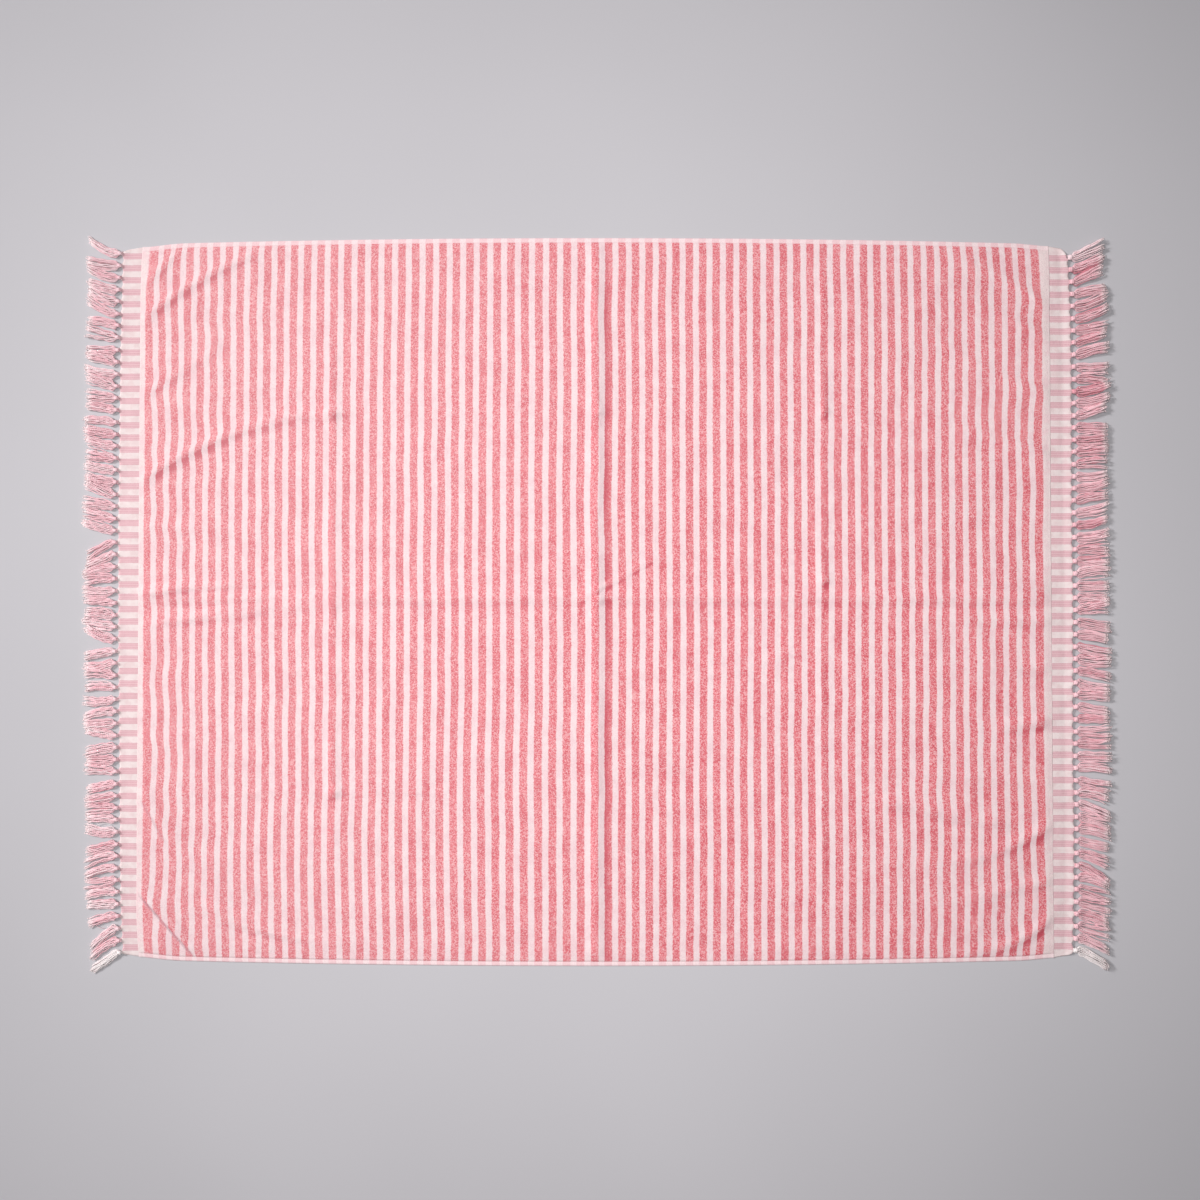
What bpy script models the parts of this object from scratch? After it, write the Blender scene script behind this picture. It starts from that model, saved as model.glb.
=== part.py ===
# Beach blanket laid out flat: one striped terry cloth with flat-woven ends and hemmed sides,
# and a knotted fringe on each end. Metres, Z up.
# X runs along the length, from fringe to fringe. Y runs across the width.
# The underside lies on z = 0 between the soft folds.

import math
import random

import bmesh
import bpy
from mathutils import Vector

OBJECT_NAME = "beach_blanket"

# Cloth
CLOTH_LENGTH = 2.000         # fringed end to fringed end
CLOTH_SHIFT_X = -0.0065      # the right-hand fringe is the longer one
CLOTH_HALF_WIDTH = 0.7625    # at mid length
SIDE_BOW = 0.0142            # how far the long sides draw in towards the ends
CORNER_START = 0.880         # the corners draw in further from here
CORNER_DRAW = 0.0104
PILE_THICKNESS = 0.0032      # terry field
WOVEN_THICKNESS = 0.0016     # flat-woven ends and side hems
HEM_WIDTH = 0.012
PILE_START = 0.040           # the pile begins this far from each fringed end
PILE_STEP = 0.003            # width of the step from the hem up to the pile
FIELD_ROWS = 112             # rows of faces between the two hems

# Distance of each column of the cloth from its fringed end
COLUMNS = (
    0.0, 0.012, 0.036, 0.040, 0.062, 0.090, 0.125, 0.170,
    0.225, 0.290, 0.370, 0.465, 0.590, 0.770, 0.972,
)

# How far each corner of a fringed end lies back from its middle
END_DRAW = {
    "left": {"top": 0.008, "bottom": 0.008},
    "right": {"top": 0.013, "bottom": 0.008},
}

# Soft folds running in from the fringed ends: start and end of the crest, sideways bow at mid run,
# crest heights at the start and the end, and half the width of the ridge.
FOLD_COLUMNS = ("x0", "y0", "x1", "y1", "bow", "h0", "h1", "half")
FOLDS = (
    (-0.960, 0.670, -0.900, 0.730, 0.000, 0.008, 0.004, 0.026),
    (-0.960, 0.612, -0.740, 0.728, 0.015, 0.008, 0.005, 0.028),
    (-0.960, 0.425, -0.800, 0.528, 0.000, 0.008, 0.003, 0.026),
    (-0.960, 0.250, -0.550, 0.400, 0.055, 0.010, 0.008, 0.028),
    (-0.960, 0.155, -0.740, 0.150, 0.000, 0.007, 0.002, 0.026),
    (-0.960, 0.010, -0.560, 0.040, 0.012, 0.011, 0.002, 0.028),
    (-0.960, -0.067, -0.550, -0.004, 0.012, 0.009, 0.006, 0.026),
    (-0.960, -0.168, -0.835, -0.210, 0.000, 0.007, 0.002, 0.026),
    (-0.960, -0.275, -0.750, -0.330, -0.012, 0.005, 0.003, 0.028),
    (-0.960, -0.405, -0.700, -0.605, -0.035, 0.012, 0.005, 0.034),
    (-0.965, -0.600, -0.840, -0.728, 0.000, 0.014, 0.004, 0.026),
    (-0.810, -0.640, -0.550, -0.708, 0.000, 0.007, 0.003, 0.030),
    (0.940, 0.618, 0.750, 0.715, 0.012, 0.007, 0.003, 0.026),
    (0.940, 0.556, 0.780, 0.628, 0.000, 0.009, 0.003, 0.026),
    (0.940, 0.440, 0.730, 0.535, -0.010, 0.008, 0.003, 0.026),
    (0.940, 0.308, 0.690, 0.390, 0.000, 0.011, 0.003, 0.028),
    (0.940, 0.025, 0.690, 0.067, 0.000, 0.010, 0.004, 0.026),
    (0.940, -0.038, 0.690, -0.036, 0.000, 0.009, 0.003, 0.026),
    (0.940, -0.136, 0.775, -0.138, 0.000, 0.007, 0.003, 0.026),
    (0.940, -0.381, 0.630, -0.352, 0.000, 0.005, 0.003, 0.028),
    (0.940, -0.470, 0.690, -0.545, -0.020, 0.010, 0.003, 0.030),
    (0.940, -0.583, 0.755, -0.625, 0.000, 0.008, 0.002, 0.026),
    (0.940, -0.668, 0.785, -0.735, -0.012, 0.012, 0.004, 0.028),
)
FOLD_TAPER = 0.060           # length over which a ridge dies out past either end of its crest
CROSS_FOLD_X = -0.003        # fold pressed across the middle, from side to side
CROSS_FOLD_HEIGHT = 0.003
CROSS_FOLD_HALF = 0.027
LONG_FOLD_Y = 0.010          # fold pressed along the middle, from end to end
LONG_FOLD_HEIGHT = 0.0025
LONG_FOLD_HALF = 0.024
EDGE_FLAT = 0.034            # every fold dies out over this strip inside the cloth's edge

# Fringes
FRINGE_GAP = 0.0003
STRIP_WIDTH = 0.004
KNOT_BASE = 0.008            # width of the strip that draws into each knot
FRINGES = {
    "left": {"count": 59, "top": 0.7294, "bottom": -0.7325, "reach": 0.066},
    "right": {"count": 58, "top": 0.7204, "bottom": -0.7282, "reach": 0.077},
}

# Cross-sections of one tassel: distance out from the strip, width and height.
TASSEL_COLUMNS = ("out", "width", "height")
TASSEL = (
    (0.0030, 0.0050, 0.0030),
    (0.0068, 0.0098, 0.0078),
    (0.0108, 0.0062, 0.0046),
    (0.0360, 0.0150, 0.0046),
)
TIP_SPREAD = 0.0044          # sideways offset of the two halves of a tassel's tip
TIP_WIDTH = 0.0064
TIP_HEIGHT = 0.0026

# Tassels lie in clumps, from the top corner down. Each row gives how many tassels the clump has,
# and how far the tips of its first and last tassel lean towards +Y.
CLUMP_COLUMNS = ("tassels", "first_lean", "last_lean")
CLUMPS = {
    "left": (
        (1, 0.027, 0.027),
        (2, 0.012, 0.020),
        (3, 0.015, 0.027),
        (2, 0.011, 0.012),
        (2, 0.002, 0.010),
        (2, 0.010, 0.018),
        (5, 0.006, 0.013),
        (2, 0.008, 0.009),
        (2, 0.013, 0.021),
        (3, 0.008, 0.017),
        (3, -0.027, -0.012),
        (2, -0.004, 0.000),
        (2, 0.004, 0.003),
        (2, 0.009, 0.017),
        (3, -0.008, 0.008),
        (2, 0.000, -0.003),
        (3, -0.008, 0.008),
        (3, -0.011, 0.005),
        (5, -0.011, 0.006),
        (6, -0.014, -0.003),
        (1, -0.014, -0.014),
        (3, -0.037, -0.035),
    ),
    "right": (
        (3, 0.026, 0.025),
        (3, 0.010, 0.022),
        (3, 0.009, 0.017),
        (5, 0.000, 0.019),
        (2, -0.002, 0.004),
        (3, 0.004, 0.004),
        (5, 0.011, 0.009),
        (4, 0.004, 0.002),
        (2, 0.000, 0.008),
        (3, -0.013, -0.013),
        (4, -0.009, -0.005),
        (3, -0.010, 0.000),
        (5, -0.001, -0.013),
        (5, -0.022, -0.017),
        (2, -0.028, -0.020),
        (2, -0.016, -0.012),
        (2, -0.019, -0.014),
        (2, -0.025, -0.029),
    ),
}
LEAN_JITTER = 0.0006
REACH_JITTER = 0.05
SEED = 7


def smooth(t):
    t = min(max(t, 0.0), 1.0)
    return t * t * (3.0 - 2.0 * t)


def half_width(x):
    a = abs(x)
    draw = max(0.0, (a - CORNER_START) / (1.0 - CORNER_START))
    return CLOTH_HALF_WIDTH - SIDE_BOW * a * a - CORNER_DRAW * draw ** 1.5


def end_x(side, y):
    # X of the cloth's fringed end at this Y
    across = min(abs(y) / CLOTH_HALF_WIDTH, 1.0)
    draw = END_DRAW[side]["top" if y > 0.0 else "bottom"]
    sign = -1.0 if side == "left" else 1.0
    return CLOTH_SHIFT_X + sign * (CLOTH_LENGTH / 2 - draw * across ** 6)


def ridge(distance, half):
    if abs(distance) >= half:
        return 0.0
    return 0.5 + 0.5 * math.cos(math.pi * distance / half)


def fold_height(x, y):
    # Height of the underside above the floor
    total = 0.0
    for row in FOLDS:
        f = dict(zip(FOLD_COLUMNS, row))
        run = f["x1"] - f["x0"]
        s = (x - f["x0"]) / run
        t = min(max(s, 0.0), 1.0)
        slope = (f["y1"] - f["y0"] + 4.0 * f["bow"] * (1.0 - 2.0 * t)) / run
        crest = f["y0"] + (f["y1"] - f["y0"]) * t + 4.0 * f["bow"] * t * (1.0 - t)
        crest += slope * (s - t) * run
        past = abs(s - t) * abs(run) / FOLD_TAPER
        h = (f["h0"] + (f["h1"] - f["h0"]) * t) * (1.0 - smooth(past))
        h *= ridge((y - crest) / math.hypot(1.0, slope), f["half"])
        total += h * h
    cross = CROSS_FOLD_HEIGHT * ridge(x - CROSS_FOLD_X, CROSS_FOLD_HALF)
    along = LONG_FOLD_HEIGHT * ridge(y - LONG_FOLD_Y, LONG_FOLD_HALF)
    total += cross * cross + along * along
    side = "left" if x < 0.0 else "right"
    to_end = abs(end_x(side, y) - x)
    to_side = half_width(x) - abs(y)
    fade = smooth(to_end / EDGE_FLAT) * smooth(to_side / EDGE_FLAT)
    height = math.sqrt(total) * fade
    return height if height > 0.0003 else 0.0


def clear_scene():
    for obj in list(bpy.data.objects):
        bpy.data.objects.remove(obj, do_unlink=True)


def new_collection(name):
    collection = bpy.data.collections.new(name)
    bpy.context.scene.collection.children.link(collection)
    return collection


def make_material(name, colour, roughness):
    material = bpy.data.materials.new(name)
    material.use_nodes = True
    shader = material.node_tree.nodes["Principled BSDF"]
    shader.inputs["Base Color"].default_value = (*colour, 1.0)
    shader.inputs["Roughness"].default_value = roughness
    return material


def add_object(name, mesh, material, collection):
    obj = bpy.data.objects.new(name, mesh)
    obj.data.materials.append(material)
    collection.objects.link(obj)
    return obj


def cloth_columns():
    # (side, distance from that end), from the left end to the right end
    left = [("left", d) for d in COLUMNS]
    right = [("right", d) for d in reversed(COLUMNS)]
    middle = [("left", CLOTH_LENGTH / 2 + CROSS_FOLD_X - CLOTH_SHIFT_X)]
    return left + middle + right


def cloth_rows():
    # (sign of the side, inset from the edge, share of the field's half width)
    rows = [(-1, 0.0, 1.0), (-1, HEM_WIDTH, 1.0)]
    for i in range(FIELD_ROWS + 1):
        share = 2.0 * i / FIELD_ROWS - 1.0
        rows.append((1 if share > 0 else -1, HEM_WIDTH + PILE_STEP, abs(share)))
    return rows + [(1, HEM_WIDTH, 1.0), (1, 0.0, 1.0)]


def build_cloth(collection):
    columns = cloth_columns()
    rows = cloth_rows()
    bm = bmesh.new()
    bmesh.ops.create_grid(bm, x_segments=len(columns) - 1, y_segments=len(rows) - 1, size=1.0)
    bm.verts.ensure_lookup_table()
    order = sorted(bm.verts, key=lambda v: (round(v.co.y, 5), round(v.co.x, 5)))
    thickness = {}
    for index, vert in enumerate(order):
        j, i = divmod(index, len(columns))
        side, from_end = columns[i]
        sign, inset, share = rows[j]
        into = 1.0 if side == "left" else -1.0
        x_flat = CLOTH_SHIFT_X - into * (CLOTH_LENGTH / 2 - from_end)
        y = sign * share * (half_width(x_flat) - inset)
        # the end's curve fades out away from the end
        fade = 1.0 - smooth(from_end / 0.30)
        bend = end_x(side, y) - (CLOTH_SHIFT_X - into * CLOTH_LENGTH / 2)
        x = x_flat + bend * fade
        vert.co = Vector((x, y, fold_height(x, y)))
        in_band = from_end < PILE_START - 1e-6
        in_hem = inset < HEM_WIDTH + 1e-6
        thickness[vert.co.to_tuple(6)] = WOVEN_THICKNESS if in_band or in_hem else PILE_THICKNESS
    top = bmesh.ops.extrude_face_region(bm, geom=bm.faces[:], use_keep_orig=True)["geom"]
    for item in top:
        if isinstance(item, bmesh.types.BMVert):
            item.co.z += thickness[item.co.to_tuple(6)]
    bm.normal_update()
    bmesh.ops.recalc_face_normals(bm, faces=bm.faces[:])
    mesh = bpy.data.meshes.new("cloth")
    bm.to_mesh(mesh)
    bm.free()

    material = make_material("terry_cloth", (0.86, 0.46, 0.50), 0.95)
    obj = add_object("cloth", mesh, material, collection)
    triangulate = obj.modifiers.new("facets", "TRIANGULATE")
    triangulate.quad_method = "BEAUTY"
    return obj


def tassel_leans(side, rng):
    leans = []
    for row in CLUMPS[side]:
        clump = dict(zip(CLUMP_COLUMNS, row))
        n = clump["tassels"]
        for i in range(n):
            t = i / (n - 1) if n > 1 else 0.0
            lean = clump["first_lean"] + (clump["last_lean"] - clump["first_lean"]) * t
            leans.append(lean + rng.uniform(-LEAN_JITTER, LEAN_JITTER))
    return leans


def place_section(face, centre, across, width, height):
    # Sets a four-sided end face to a rectangle that stands on the floor
    mid_z = sum(v.co.z for v in face.verts) / len(face.verts)
    mid_y = sum(v.co.y for v in face.verts) / len(face.verts)
    for vert in face.verts:
        side = 1.0 if vert.co.y > mid_y else -1.0
        z = height if vert.co.z > mid_z else 0.0
        vert.co = Vector((centre[0], centre[1], z)) + across * (side * width / 2)


def extrude(bm, face, centre, across, width, height):
    new = bmesh.ops.extrude_discrete_faces(bm, faces=[face])["faces"][0]
    place_section(new, centre, across, width, height)
    return new


def split_upright(bm, face):
    # Cuts an end face in two down its middle
    mid_z = sum(v.co.z for v in face.verts) / len(face.verts)
    level = [e for e in face.edges if (e.verts[0].co.z > mid_z) == (e.verts[1].co.z > mid_z)]
    cuts = [bmesh.utils.edge_split(edge, edge.verts[0], 0.5)[1] for edge in level]
    other = bmesh.utils.face_split(face, cuts[0], cuts[1])[0]
    return sorted((face, other), key=lambda f: f.calc_center_median().y)


def grow_tassel(bm, face, base, sign, lean, reach):
    last = len(TASSEL) - 1
    for index, row in enumerate(TASSEL):
        s = dict(zip(TASSEL_COLUMNS, row))
        out = s["out"] if index < last else s["out"] * reach / FRINGES["left"]["reach"]
        t = out / reach
        centre = (base.x + sign * out, base.y + lean * t ** 1.2)
        slope = lean * 1.2 * t ** 0.2 / reach
        across = Vector((-sign * slope, 1.0, 0.0)).normalized()
        if index < 2:
            across = Vector((0.0, 1.0, 0.0))
        face = extrude(bm, face, centre, across, s["width"], s["height"])
    slope = lean * 1.2 / reach
    across = Vector((-sign * slope, 1.0, 0.0)).normalized()
    for half, face in zip((-1.0, 1.0), split_upright(bm, face)):
        tip = Vector((base.x + sign * reach, base.y + lean, 0.0)) + across * (half * TIP_SPREAD)
        extrude(bm, face, tip, across, TIP_WIDTH, TIP_HEIGHT)


def is_outer(side, point):
    # True on the face of the strip that the tassels grow from
    return abs(point.x - end_x(side, point.y)) > FRINGE_GAP + STRIP_WIDTH / 2


def build_fringe(side, material, collection):
    f = FRINGES[side]
    rng = random.Random(SEED + f["count"])
    sign = -1.0 if side == "left" else 1.0
    pitch = (f["top"] - f["bottom"]) / (f["count"] - 1)
    knots = [f["top"] - pitch * i for i in range(f["count"])]
    leans = tassel_leans(side, rng)

    # edges of the strip's faces, from the bottom corner up
    corner = half_width(CLOTH_LENGTH / 2 + sign * CLOTH_SHIFT_X)
    lines = [-corner]
    for y in reversed(knots):
        lines += [y - KNOT_BASE / 2, y + KNOT_BASE / 2]
    lines.append(corner)

    bm = bmesh.new()
    bmesh.ops.create_grid(bm, x_segments=1, y_segments=len(lines) - 1, size=1.0)
    order = sorted(bm.verts, key=lambda v: (round(v.co.y, 6), v.co.x))
    for index, vert in enumerate(order):
        j, i = divmod(index, 2)
        y = lines[j]
        outer = (i == 1) == (sign > 0)
        out = FRINGE_GAP + (STRIP_WIDTH if outer else 0.0)
        vert.co = Vector((end_x(side, y) + sign * out, y, 0.0))
    top = bmesh.ops.extrude_face_region(bm, geom=bm.faces[:], use_keep_orig=True)["geom"]
    raised = [g for g in top if isinstance(g, bmesh.types.BMVert)]
    bmesh.ops.translate(bm, vec=(0.0, 0.0, WOVEN_THICKNESS), verts=raised)
    bm.normal_update()
    bmesh.ops.recalc_face_normals(bm, faces=bm.faces[:])
    bm.normal_update()
    outer_faces = [face for face in bm.faces if all(is_outer(side, v.co) for v in face.verts)]
    outer_faces.sort(key=lambda face: -face.calc_center_median().y)
    for face, y, lean in zip(outer_faces[1::2], knots, leans):
        base = Vector((end_x(side, y) + sign * (FRINGE_GAP + STRIP_WIDTH), y, 0.0))
        reach = f["reach"] * (1.0 + rng.uniform(-REACH_JITTER, REACH_JITTER))
        grow_tassel(bm, face, base, sign, lean, reach)
    bm.normal_update()
    bmesh.ops.recalc_face_normals(bm, faces=bm.faces[:])
    mesh = bpy.data.meshes.new("fringe_" + side)
    bm.to_mesh(mesh)
    bm.free()
    obj = add_object("fringe_" + side, mesh, material, collection)
    obj.modifiers.new("facets", "TRIANGULATE")
    return obj


def centre_on_floor(objects):
    # Moves everything together so that the origin is at the bottom centre
    points = [v.co for obj in objects for v in obj.data.vertices]
    mid_x = (min(p.x for p in points) + max(p.x for p in points)) / 2
    mid_y = (min(p.y for p in points) + max(p.y for p in points)) / 2
    for obj in objects:
        for vert in obj.data.vertices:
            vert.co.x -= mid_x
            vert.co.y -= mid_y


clear_scene()
parts = new_collection(OBJECT_NAME)
fringe_material = make_material("fringe_cotton", (0.85, 0.50, 0.55), 0.9)
pieces = [build_cloth(parts)]
for side_name in ("left", "right"):
    pieces.append(build_fringe(side_name, fringe_material, parts))
centre_on_floor(pieces)
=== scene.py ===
import math

import bpy
import numpy as np
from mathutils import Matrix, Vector


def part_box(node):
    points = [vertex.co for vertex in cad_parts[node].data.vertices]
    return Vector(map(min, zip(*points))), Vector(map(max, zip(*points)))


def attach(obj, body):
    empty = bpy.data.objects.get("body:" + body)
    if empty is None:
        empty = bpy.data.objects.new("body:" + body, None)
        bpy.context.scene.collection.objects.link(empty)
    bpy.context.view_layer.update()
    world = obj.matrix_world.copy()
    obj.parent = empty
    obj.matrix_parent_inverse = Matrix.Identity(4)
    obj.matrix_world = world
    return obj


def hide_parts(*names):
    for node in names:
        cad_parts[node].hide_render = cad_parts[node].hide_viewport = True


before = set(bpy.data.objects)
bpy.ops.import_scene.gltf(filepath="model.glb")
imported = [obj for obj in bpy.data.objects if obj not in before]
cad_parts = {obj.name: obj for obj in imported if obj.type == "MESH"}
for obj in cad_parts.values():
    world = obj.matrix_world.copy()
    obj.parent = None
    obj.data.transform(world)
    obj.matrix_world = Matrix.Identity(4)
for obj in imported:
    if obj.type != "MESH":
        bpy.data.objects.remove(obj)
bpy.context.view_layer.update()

bpy.ops.object.select_all(action="DESELECT")
mm = 0.001


# small helpers

def tint(red, green, blue):
    # a colour given 0 to 255, as the shader's own linear numbers
    def straight(value):
        value = value / 255
        return value / 12.92 if value <= 0.04045 else ((value + 0.055) / 1.055) ** 2.4

    return (straight(red), straight(green), straight(blue), 1.0)


def smooth(t):
    t = np.clip(t, 0.0, 1.0)
    return t * t * (3.0 - 2.0 * t)


def ridge(distance, half):
    # 1 on a line, and down to 0 at half on both sides of it
    return np.where(np.abs(distance) < half, 0.5 + 0.5 * np.cos(np.pi * distance / half), 0.0)


def softNoise(x, y, cellX, cellY, seed):
    # smooth random relief between -1 and 1, its bumps about cellX by cellY
    wide, loopShade = 97, 89
    table = np.random.default_rng(seed).uniform(-1.0, 1.0, (wide, loopShade))
    gx, gy = x / cellX + 40.0, y / cellY + 40.0    # starts well inside the table
    ix, iy = np.floor(gx).astype(int), np.floor(gy).astype(int)
    fx, fy = smooth(gx - ix), smooth(gy - iy)

    def corner(a, b):
        return table[(ix + a) % wide, (iy + b) % loopShade]
    low = corner(0, 0) * (1 - fx) + corner(1, 0) * fx
    high = corner(0, 1) * (1 - fx) + corner(1, 1) * fx
    return low * (1 - fy) + high * fy


def fromLine(x, y, x0, y0, x1, y1):
    # how far along a straight line, how far to its left, and the line's own length
    run = math.hypot(x1 - x0, y1 - y0)
    dx, dy = (x1 - x0) / run, (y1 - y0) / run
    along = (x - x0) * dx + (y - y0) * dy
    across = (y - y0) * dx - (x - x0) * dy
    return along, across, run


def spaced(start, end, count, stepAt):
    # count + 1 places from start to end, as close together as stepAt asks
    fine = np.linspace(start, end, 4001)
    run = np.concatenate(([0.0], np.cumsum(1.0 / stepAt((fine[1:] + fine[:-1]) / 2))))
    return np.interp(np.linspace(0.0, run[-1], count + 1), run, fine)


def newPiece(name, points, faces, material):
    mesh = bpy.data.meshes.new(name)
    mesh.from_pydata(points.tolist(), [], faces)
    mesh.update()
    piece = bpy.data.objects.new(name, mesh)
    bpy.context.scene.collection.objects.link(piece)
    mesh.materials.append(material)
    mesh.shade_smooth()
    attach(piece, "root")
    return piece


def addUv(mesh, name, values):
    # one pair of values for each point of the mesh
    corners = np.empty(len(mesh.loops), dtype=np.int32)
    mesh.loops.foreach_get("vertex_index", corners)
    layer = mesh.uv_layers.new(name=name)
    layer.data.foreach_set("uv", np.asarray(values, dtype=np.float32)[corners].ravel())


def addNumber(mesh, name, values):
    layer = mesh.attributes.new(name, "FLOAT", "POINT")
    layer.data.foreach_set("value", np.asarray(values, dtype=np.float32).ravel())


# the cloth laid out

blanket = {
    "length": 2.000,          # between the fringes
    "halfWidth": 0.7625,      # at mid length
    "sideBow": 0.0142,        # the long sides draw in towards the ends
    "cornerStart": 0.880,     # and from here on they draw in more,
    "cornerDraw": 0.0104,     # by this much at the corners
    "shiftX": -0.0065,        # the cloth lies this far off the middle
    "endDraw": {              # how far the ends fall back at the corners, by end and side
        ("left", 1): 0.008,
        ("left", -1): 0.008,
        ("right", 1): 0.013,
        ("right", -1): 0.008,
    },
    "pile": 0.0032,           # thickness of the terry
    "woven": 0.0016,          # thickness of the flat-woven ends
    "hemThick": 0.0020,
    "hem": 0.0092,            # width of the side hems
    "edgeFlat": 0.034,        # folds and marks die out this close to the edges
    "foldTaper": 0.060,       # and folds this far past the ends of their crests
    "foldBroad": 0.25,        # shares of a fold's height: its broad swell
    "foldSharp": 0.13,        # and its narrow crest
    "foldPull": 0.035,        # a fold draws cloth in from this far off
    "endReach": 0.16,         # the fringed ends ripple the cloth this far in
    "lap": 0.0040,            # the terry's last rows stand over the woven end
    "endRise": {"left": 0.0016, "right": 0.0040},    # the knots hold the woven edge off the floor
}

outwards = {"left": -1.0, "right": 1.0}    # which way each fringed end points along x

clothLow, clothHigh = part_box("cloth")
placeX = (clothLow[0] + clothHigh[0]) / 2 - blanket["shiftX"]
placeY = (clothLow[1] + clothHigh[1]) / 2

stripes = {
    "count": 67,
    "first": -0.9475,         # middle of the first coral stripe
    "pitch": 0.02835,
    "width": 0.0157,
    "field": {"left": -0.9631, "right": 0.9480},    # the terry runs between these
    "skew": 0.0050,           # the top side's ends lie this much further in than at mid width
    "skewAt": 0.95,
    "wobble": 0.0006,         # small waves of the stripes
    "wobbleAtEnds": 0.0024,   # and more of them near the fringed ends
    "drift": 0.0010,          # broader waves
}

# how far the fringed ends lie off a plain curve, in millimetres: y, shift along x
endShifts = {
    "left": (
        (-0.74, 3.0), (-0.64, 2.0), (-0.46, 2.2), (-0.20, 0.8), (-0.12, -0.6), (0.18, -0.6),
        (0.26, 1.0), (0.40, 2.2), (0.56, 4.0), (0.64, 4.5), (0.74, 4.2),
    ),
    "right": (
        (-0.74, 6.0), (-0.60, 4.2), (-0.42, 2.6), (-0.34, 0.6), (0.00, 0.4), (0.12, -1.0),
        (0.20, -2.4), (0.74, -2.0),
    ),
}

# how far some stripes lie off their even places, in millimetres: stripe, shift
stripeShifts = (
    (-0.55, 0.0), (-0.29, 3.8), (0.3, 3.4), (3, -0.1), (6, -3.4), (12, -5.6), (18, -7.3),
    (24, -5.4), (27, -2.5), (30, 1.5), (33, 4.1), (39, 4.0), (48, 3.8), (54, 2.7), (60, 1.4),
    (66, -1.2), (66.7, 0.0),
)

# broad bows of the stripes: x, y, reach along x, reach along y, shift in millimetres
bows = (
    (-0.96, -0.40, 0.16, 0.14, 3.5),
    (-0.86, -0.69, 0.16, 0.08, 4.0),
    (-0.96, 0.70, 0.09, 0.05, 4.0),
    (-0.93, 0.06, 0.09, 0.14, -2.4),
    (-0.87, 0.39, 0.09, 0.14, -1.7),
    (-0.69, -0.33, 0.09, 0.08, 2.0),
    (-0.66, 0.15, 0.16, 0.14, -2.7),
    (-0.54, -0.51, 0.16, 0.08, -2.3),
    (-0.48, -0.72, 0.16, 0.08, 2.9),
    (-0.39, 0.69, 0.16, 0.14, 2.9),
    (-0.24, -0.36, 0.16, 0.14, -2.9),
    (-0.06, 0.24, 0.16, 0.08, -2.0),
    (0.21, -0.06, 0.16, 0.14, 1.6),
    (0.51, -0.30, 0.16, 0.08, -2.8),
    (0.84, 0.60, 0.09, 0.08, 2.0),
)

# how the corners are pulled in, in millimetres: end, side (1 top, -1 bottom), pull on the
# stripes, pull on the terry's edge
cornerPulls = (
    ("left", 1, 10.0, 3.5),
    ("left", -1, 7.0, 6.0),
    ("right", 1, -8.0, -0.5),
    ("right", -1, -5.0, 1.5),
)

# soft folds: crest from x0, y0 to x1, y1, sideways bow, height at each end, half width,
# and how much cloth it takes in, in millimetres
folds = (
    (-0.960, 0.660, -0.880, 0.730, 0.000, 0.008, 0.004, 0.024, 10.0),
    (-0.960, 0.590, -0.705, 0.736, 0.012, 0.010, 0.006, 0.024, 12.0),
    (-0.960, 0.432, -0.820, 0.515, 0.000, 0.006, 0.003, 0.024, 8.0),
    (-0.960, 0.254, -0.560, 0.398, 0.030, 0.011, 0.008, 0.026, 12.0),
    (-0.960, 0.160, -0.740, 0.150, 0.000, 0.007, 0.002, 0.024, 7.0),
    (-0.960, 0.012, -0.560, 0.040, 0.012, 0.011, 0.002, 0.024, 10.0),
    (-0.960, -0.052, -0.550, -0.004, 0.012, 0.006, 0.005, 0.024, 9.0),
    (-0.960, -0.180, -0.835, -0.215, 0.000, 0.007, 0.002, 0.024, 8.0),
    (-0.960, -0.275, -0.750, -0.330, -0.012, 0.005, 0.003, 0.026, 5.0),
    (-0.960, -0.405, -0.700, -0.605, -0.035, 0.008, 0.004, 0.030, 3.0),
    (-0.965, -0.600, -0.840, -0.728, 0.000, 0.012, 0.004, 0.026, 4.0),
    (-0.800, -0.645, -0.560, -0.712, -0.008, 0.007, 0.003, 0.026, 6.0),
    (0.940, 0.618, 0.750, 0.715, 0.012, 0.007, 0.003, 0.024, 6.0),
    (0.940, 0.556, 0.780, 0.628, 0.000, 0.009, 0.003, 0.024, 7.0),
    (0.940, 0.440, 0.730, 0.535, -0.010, 0.008, 0.003, 0.024, 6.0),
    (0.940, 0.308, 0.690, 0.390, 0.000, 0.011, 0.003, 0.026, 9.0),
    (0.940, 0.025, 0.690, 0.067, 0.000, 0.010, 0.004, 0.024, 8.0),
    (0.940, -0.038, 0.690, -0.036, 0.000, 0.009, 0.003, 0.024, 7.0),
    (0.940, -0.136, 0.775, -0.138, 0.000, 0.007, 0.003, 0.024, 5.0),
    (0.940, -0.381, 0.630, -0.352, 0.000, 0.005, 0.003, 0.026, 4.0),
    (0.940, -0.470, 0.690, -0.545, -0.020, 0.010, 0.003, 0.028, 8.0),
    (0.940, -0.583, 0.755, -0.625, 0.000, 0.008, 0.002, 0.024, 6.0),
    (0.940, -0.668, 0.785, -0.735, -0.012, 0.012, 0.004, 0.026, 10.0),
)
crossFold = {"x": -0.003, "height": 0.003, "half": 0.027}
longFold = {"y": 0.010, "height": 0.0025, "half": 0.024}

# pleats: a sharp line from x0, y0 to x1, y1, how far the stripes jump across it in
# millimetres, how dark the painted shadow along it is
pleats = (
    (-0.962, -0.612, -0.846, -0.742, 11.0, 0.42),
    (-0.958, -0.412, -0.905, -0.505, 5.0, 0.22),
)

# rounded corners of the woven ends: end, side, how far the corner falls back
cornerRounds = (("right", 1, 0.0140), ("left", 1, 0.0040), ("right", -1, 0.0030))

# x of the lines that folding pressed in across the width, where the cloth needs closer points
creaseLines = (-0.556, -0.003, 0.468)

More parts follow.
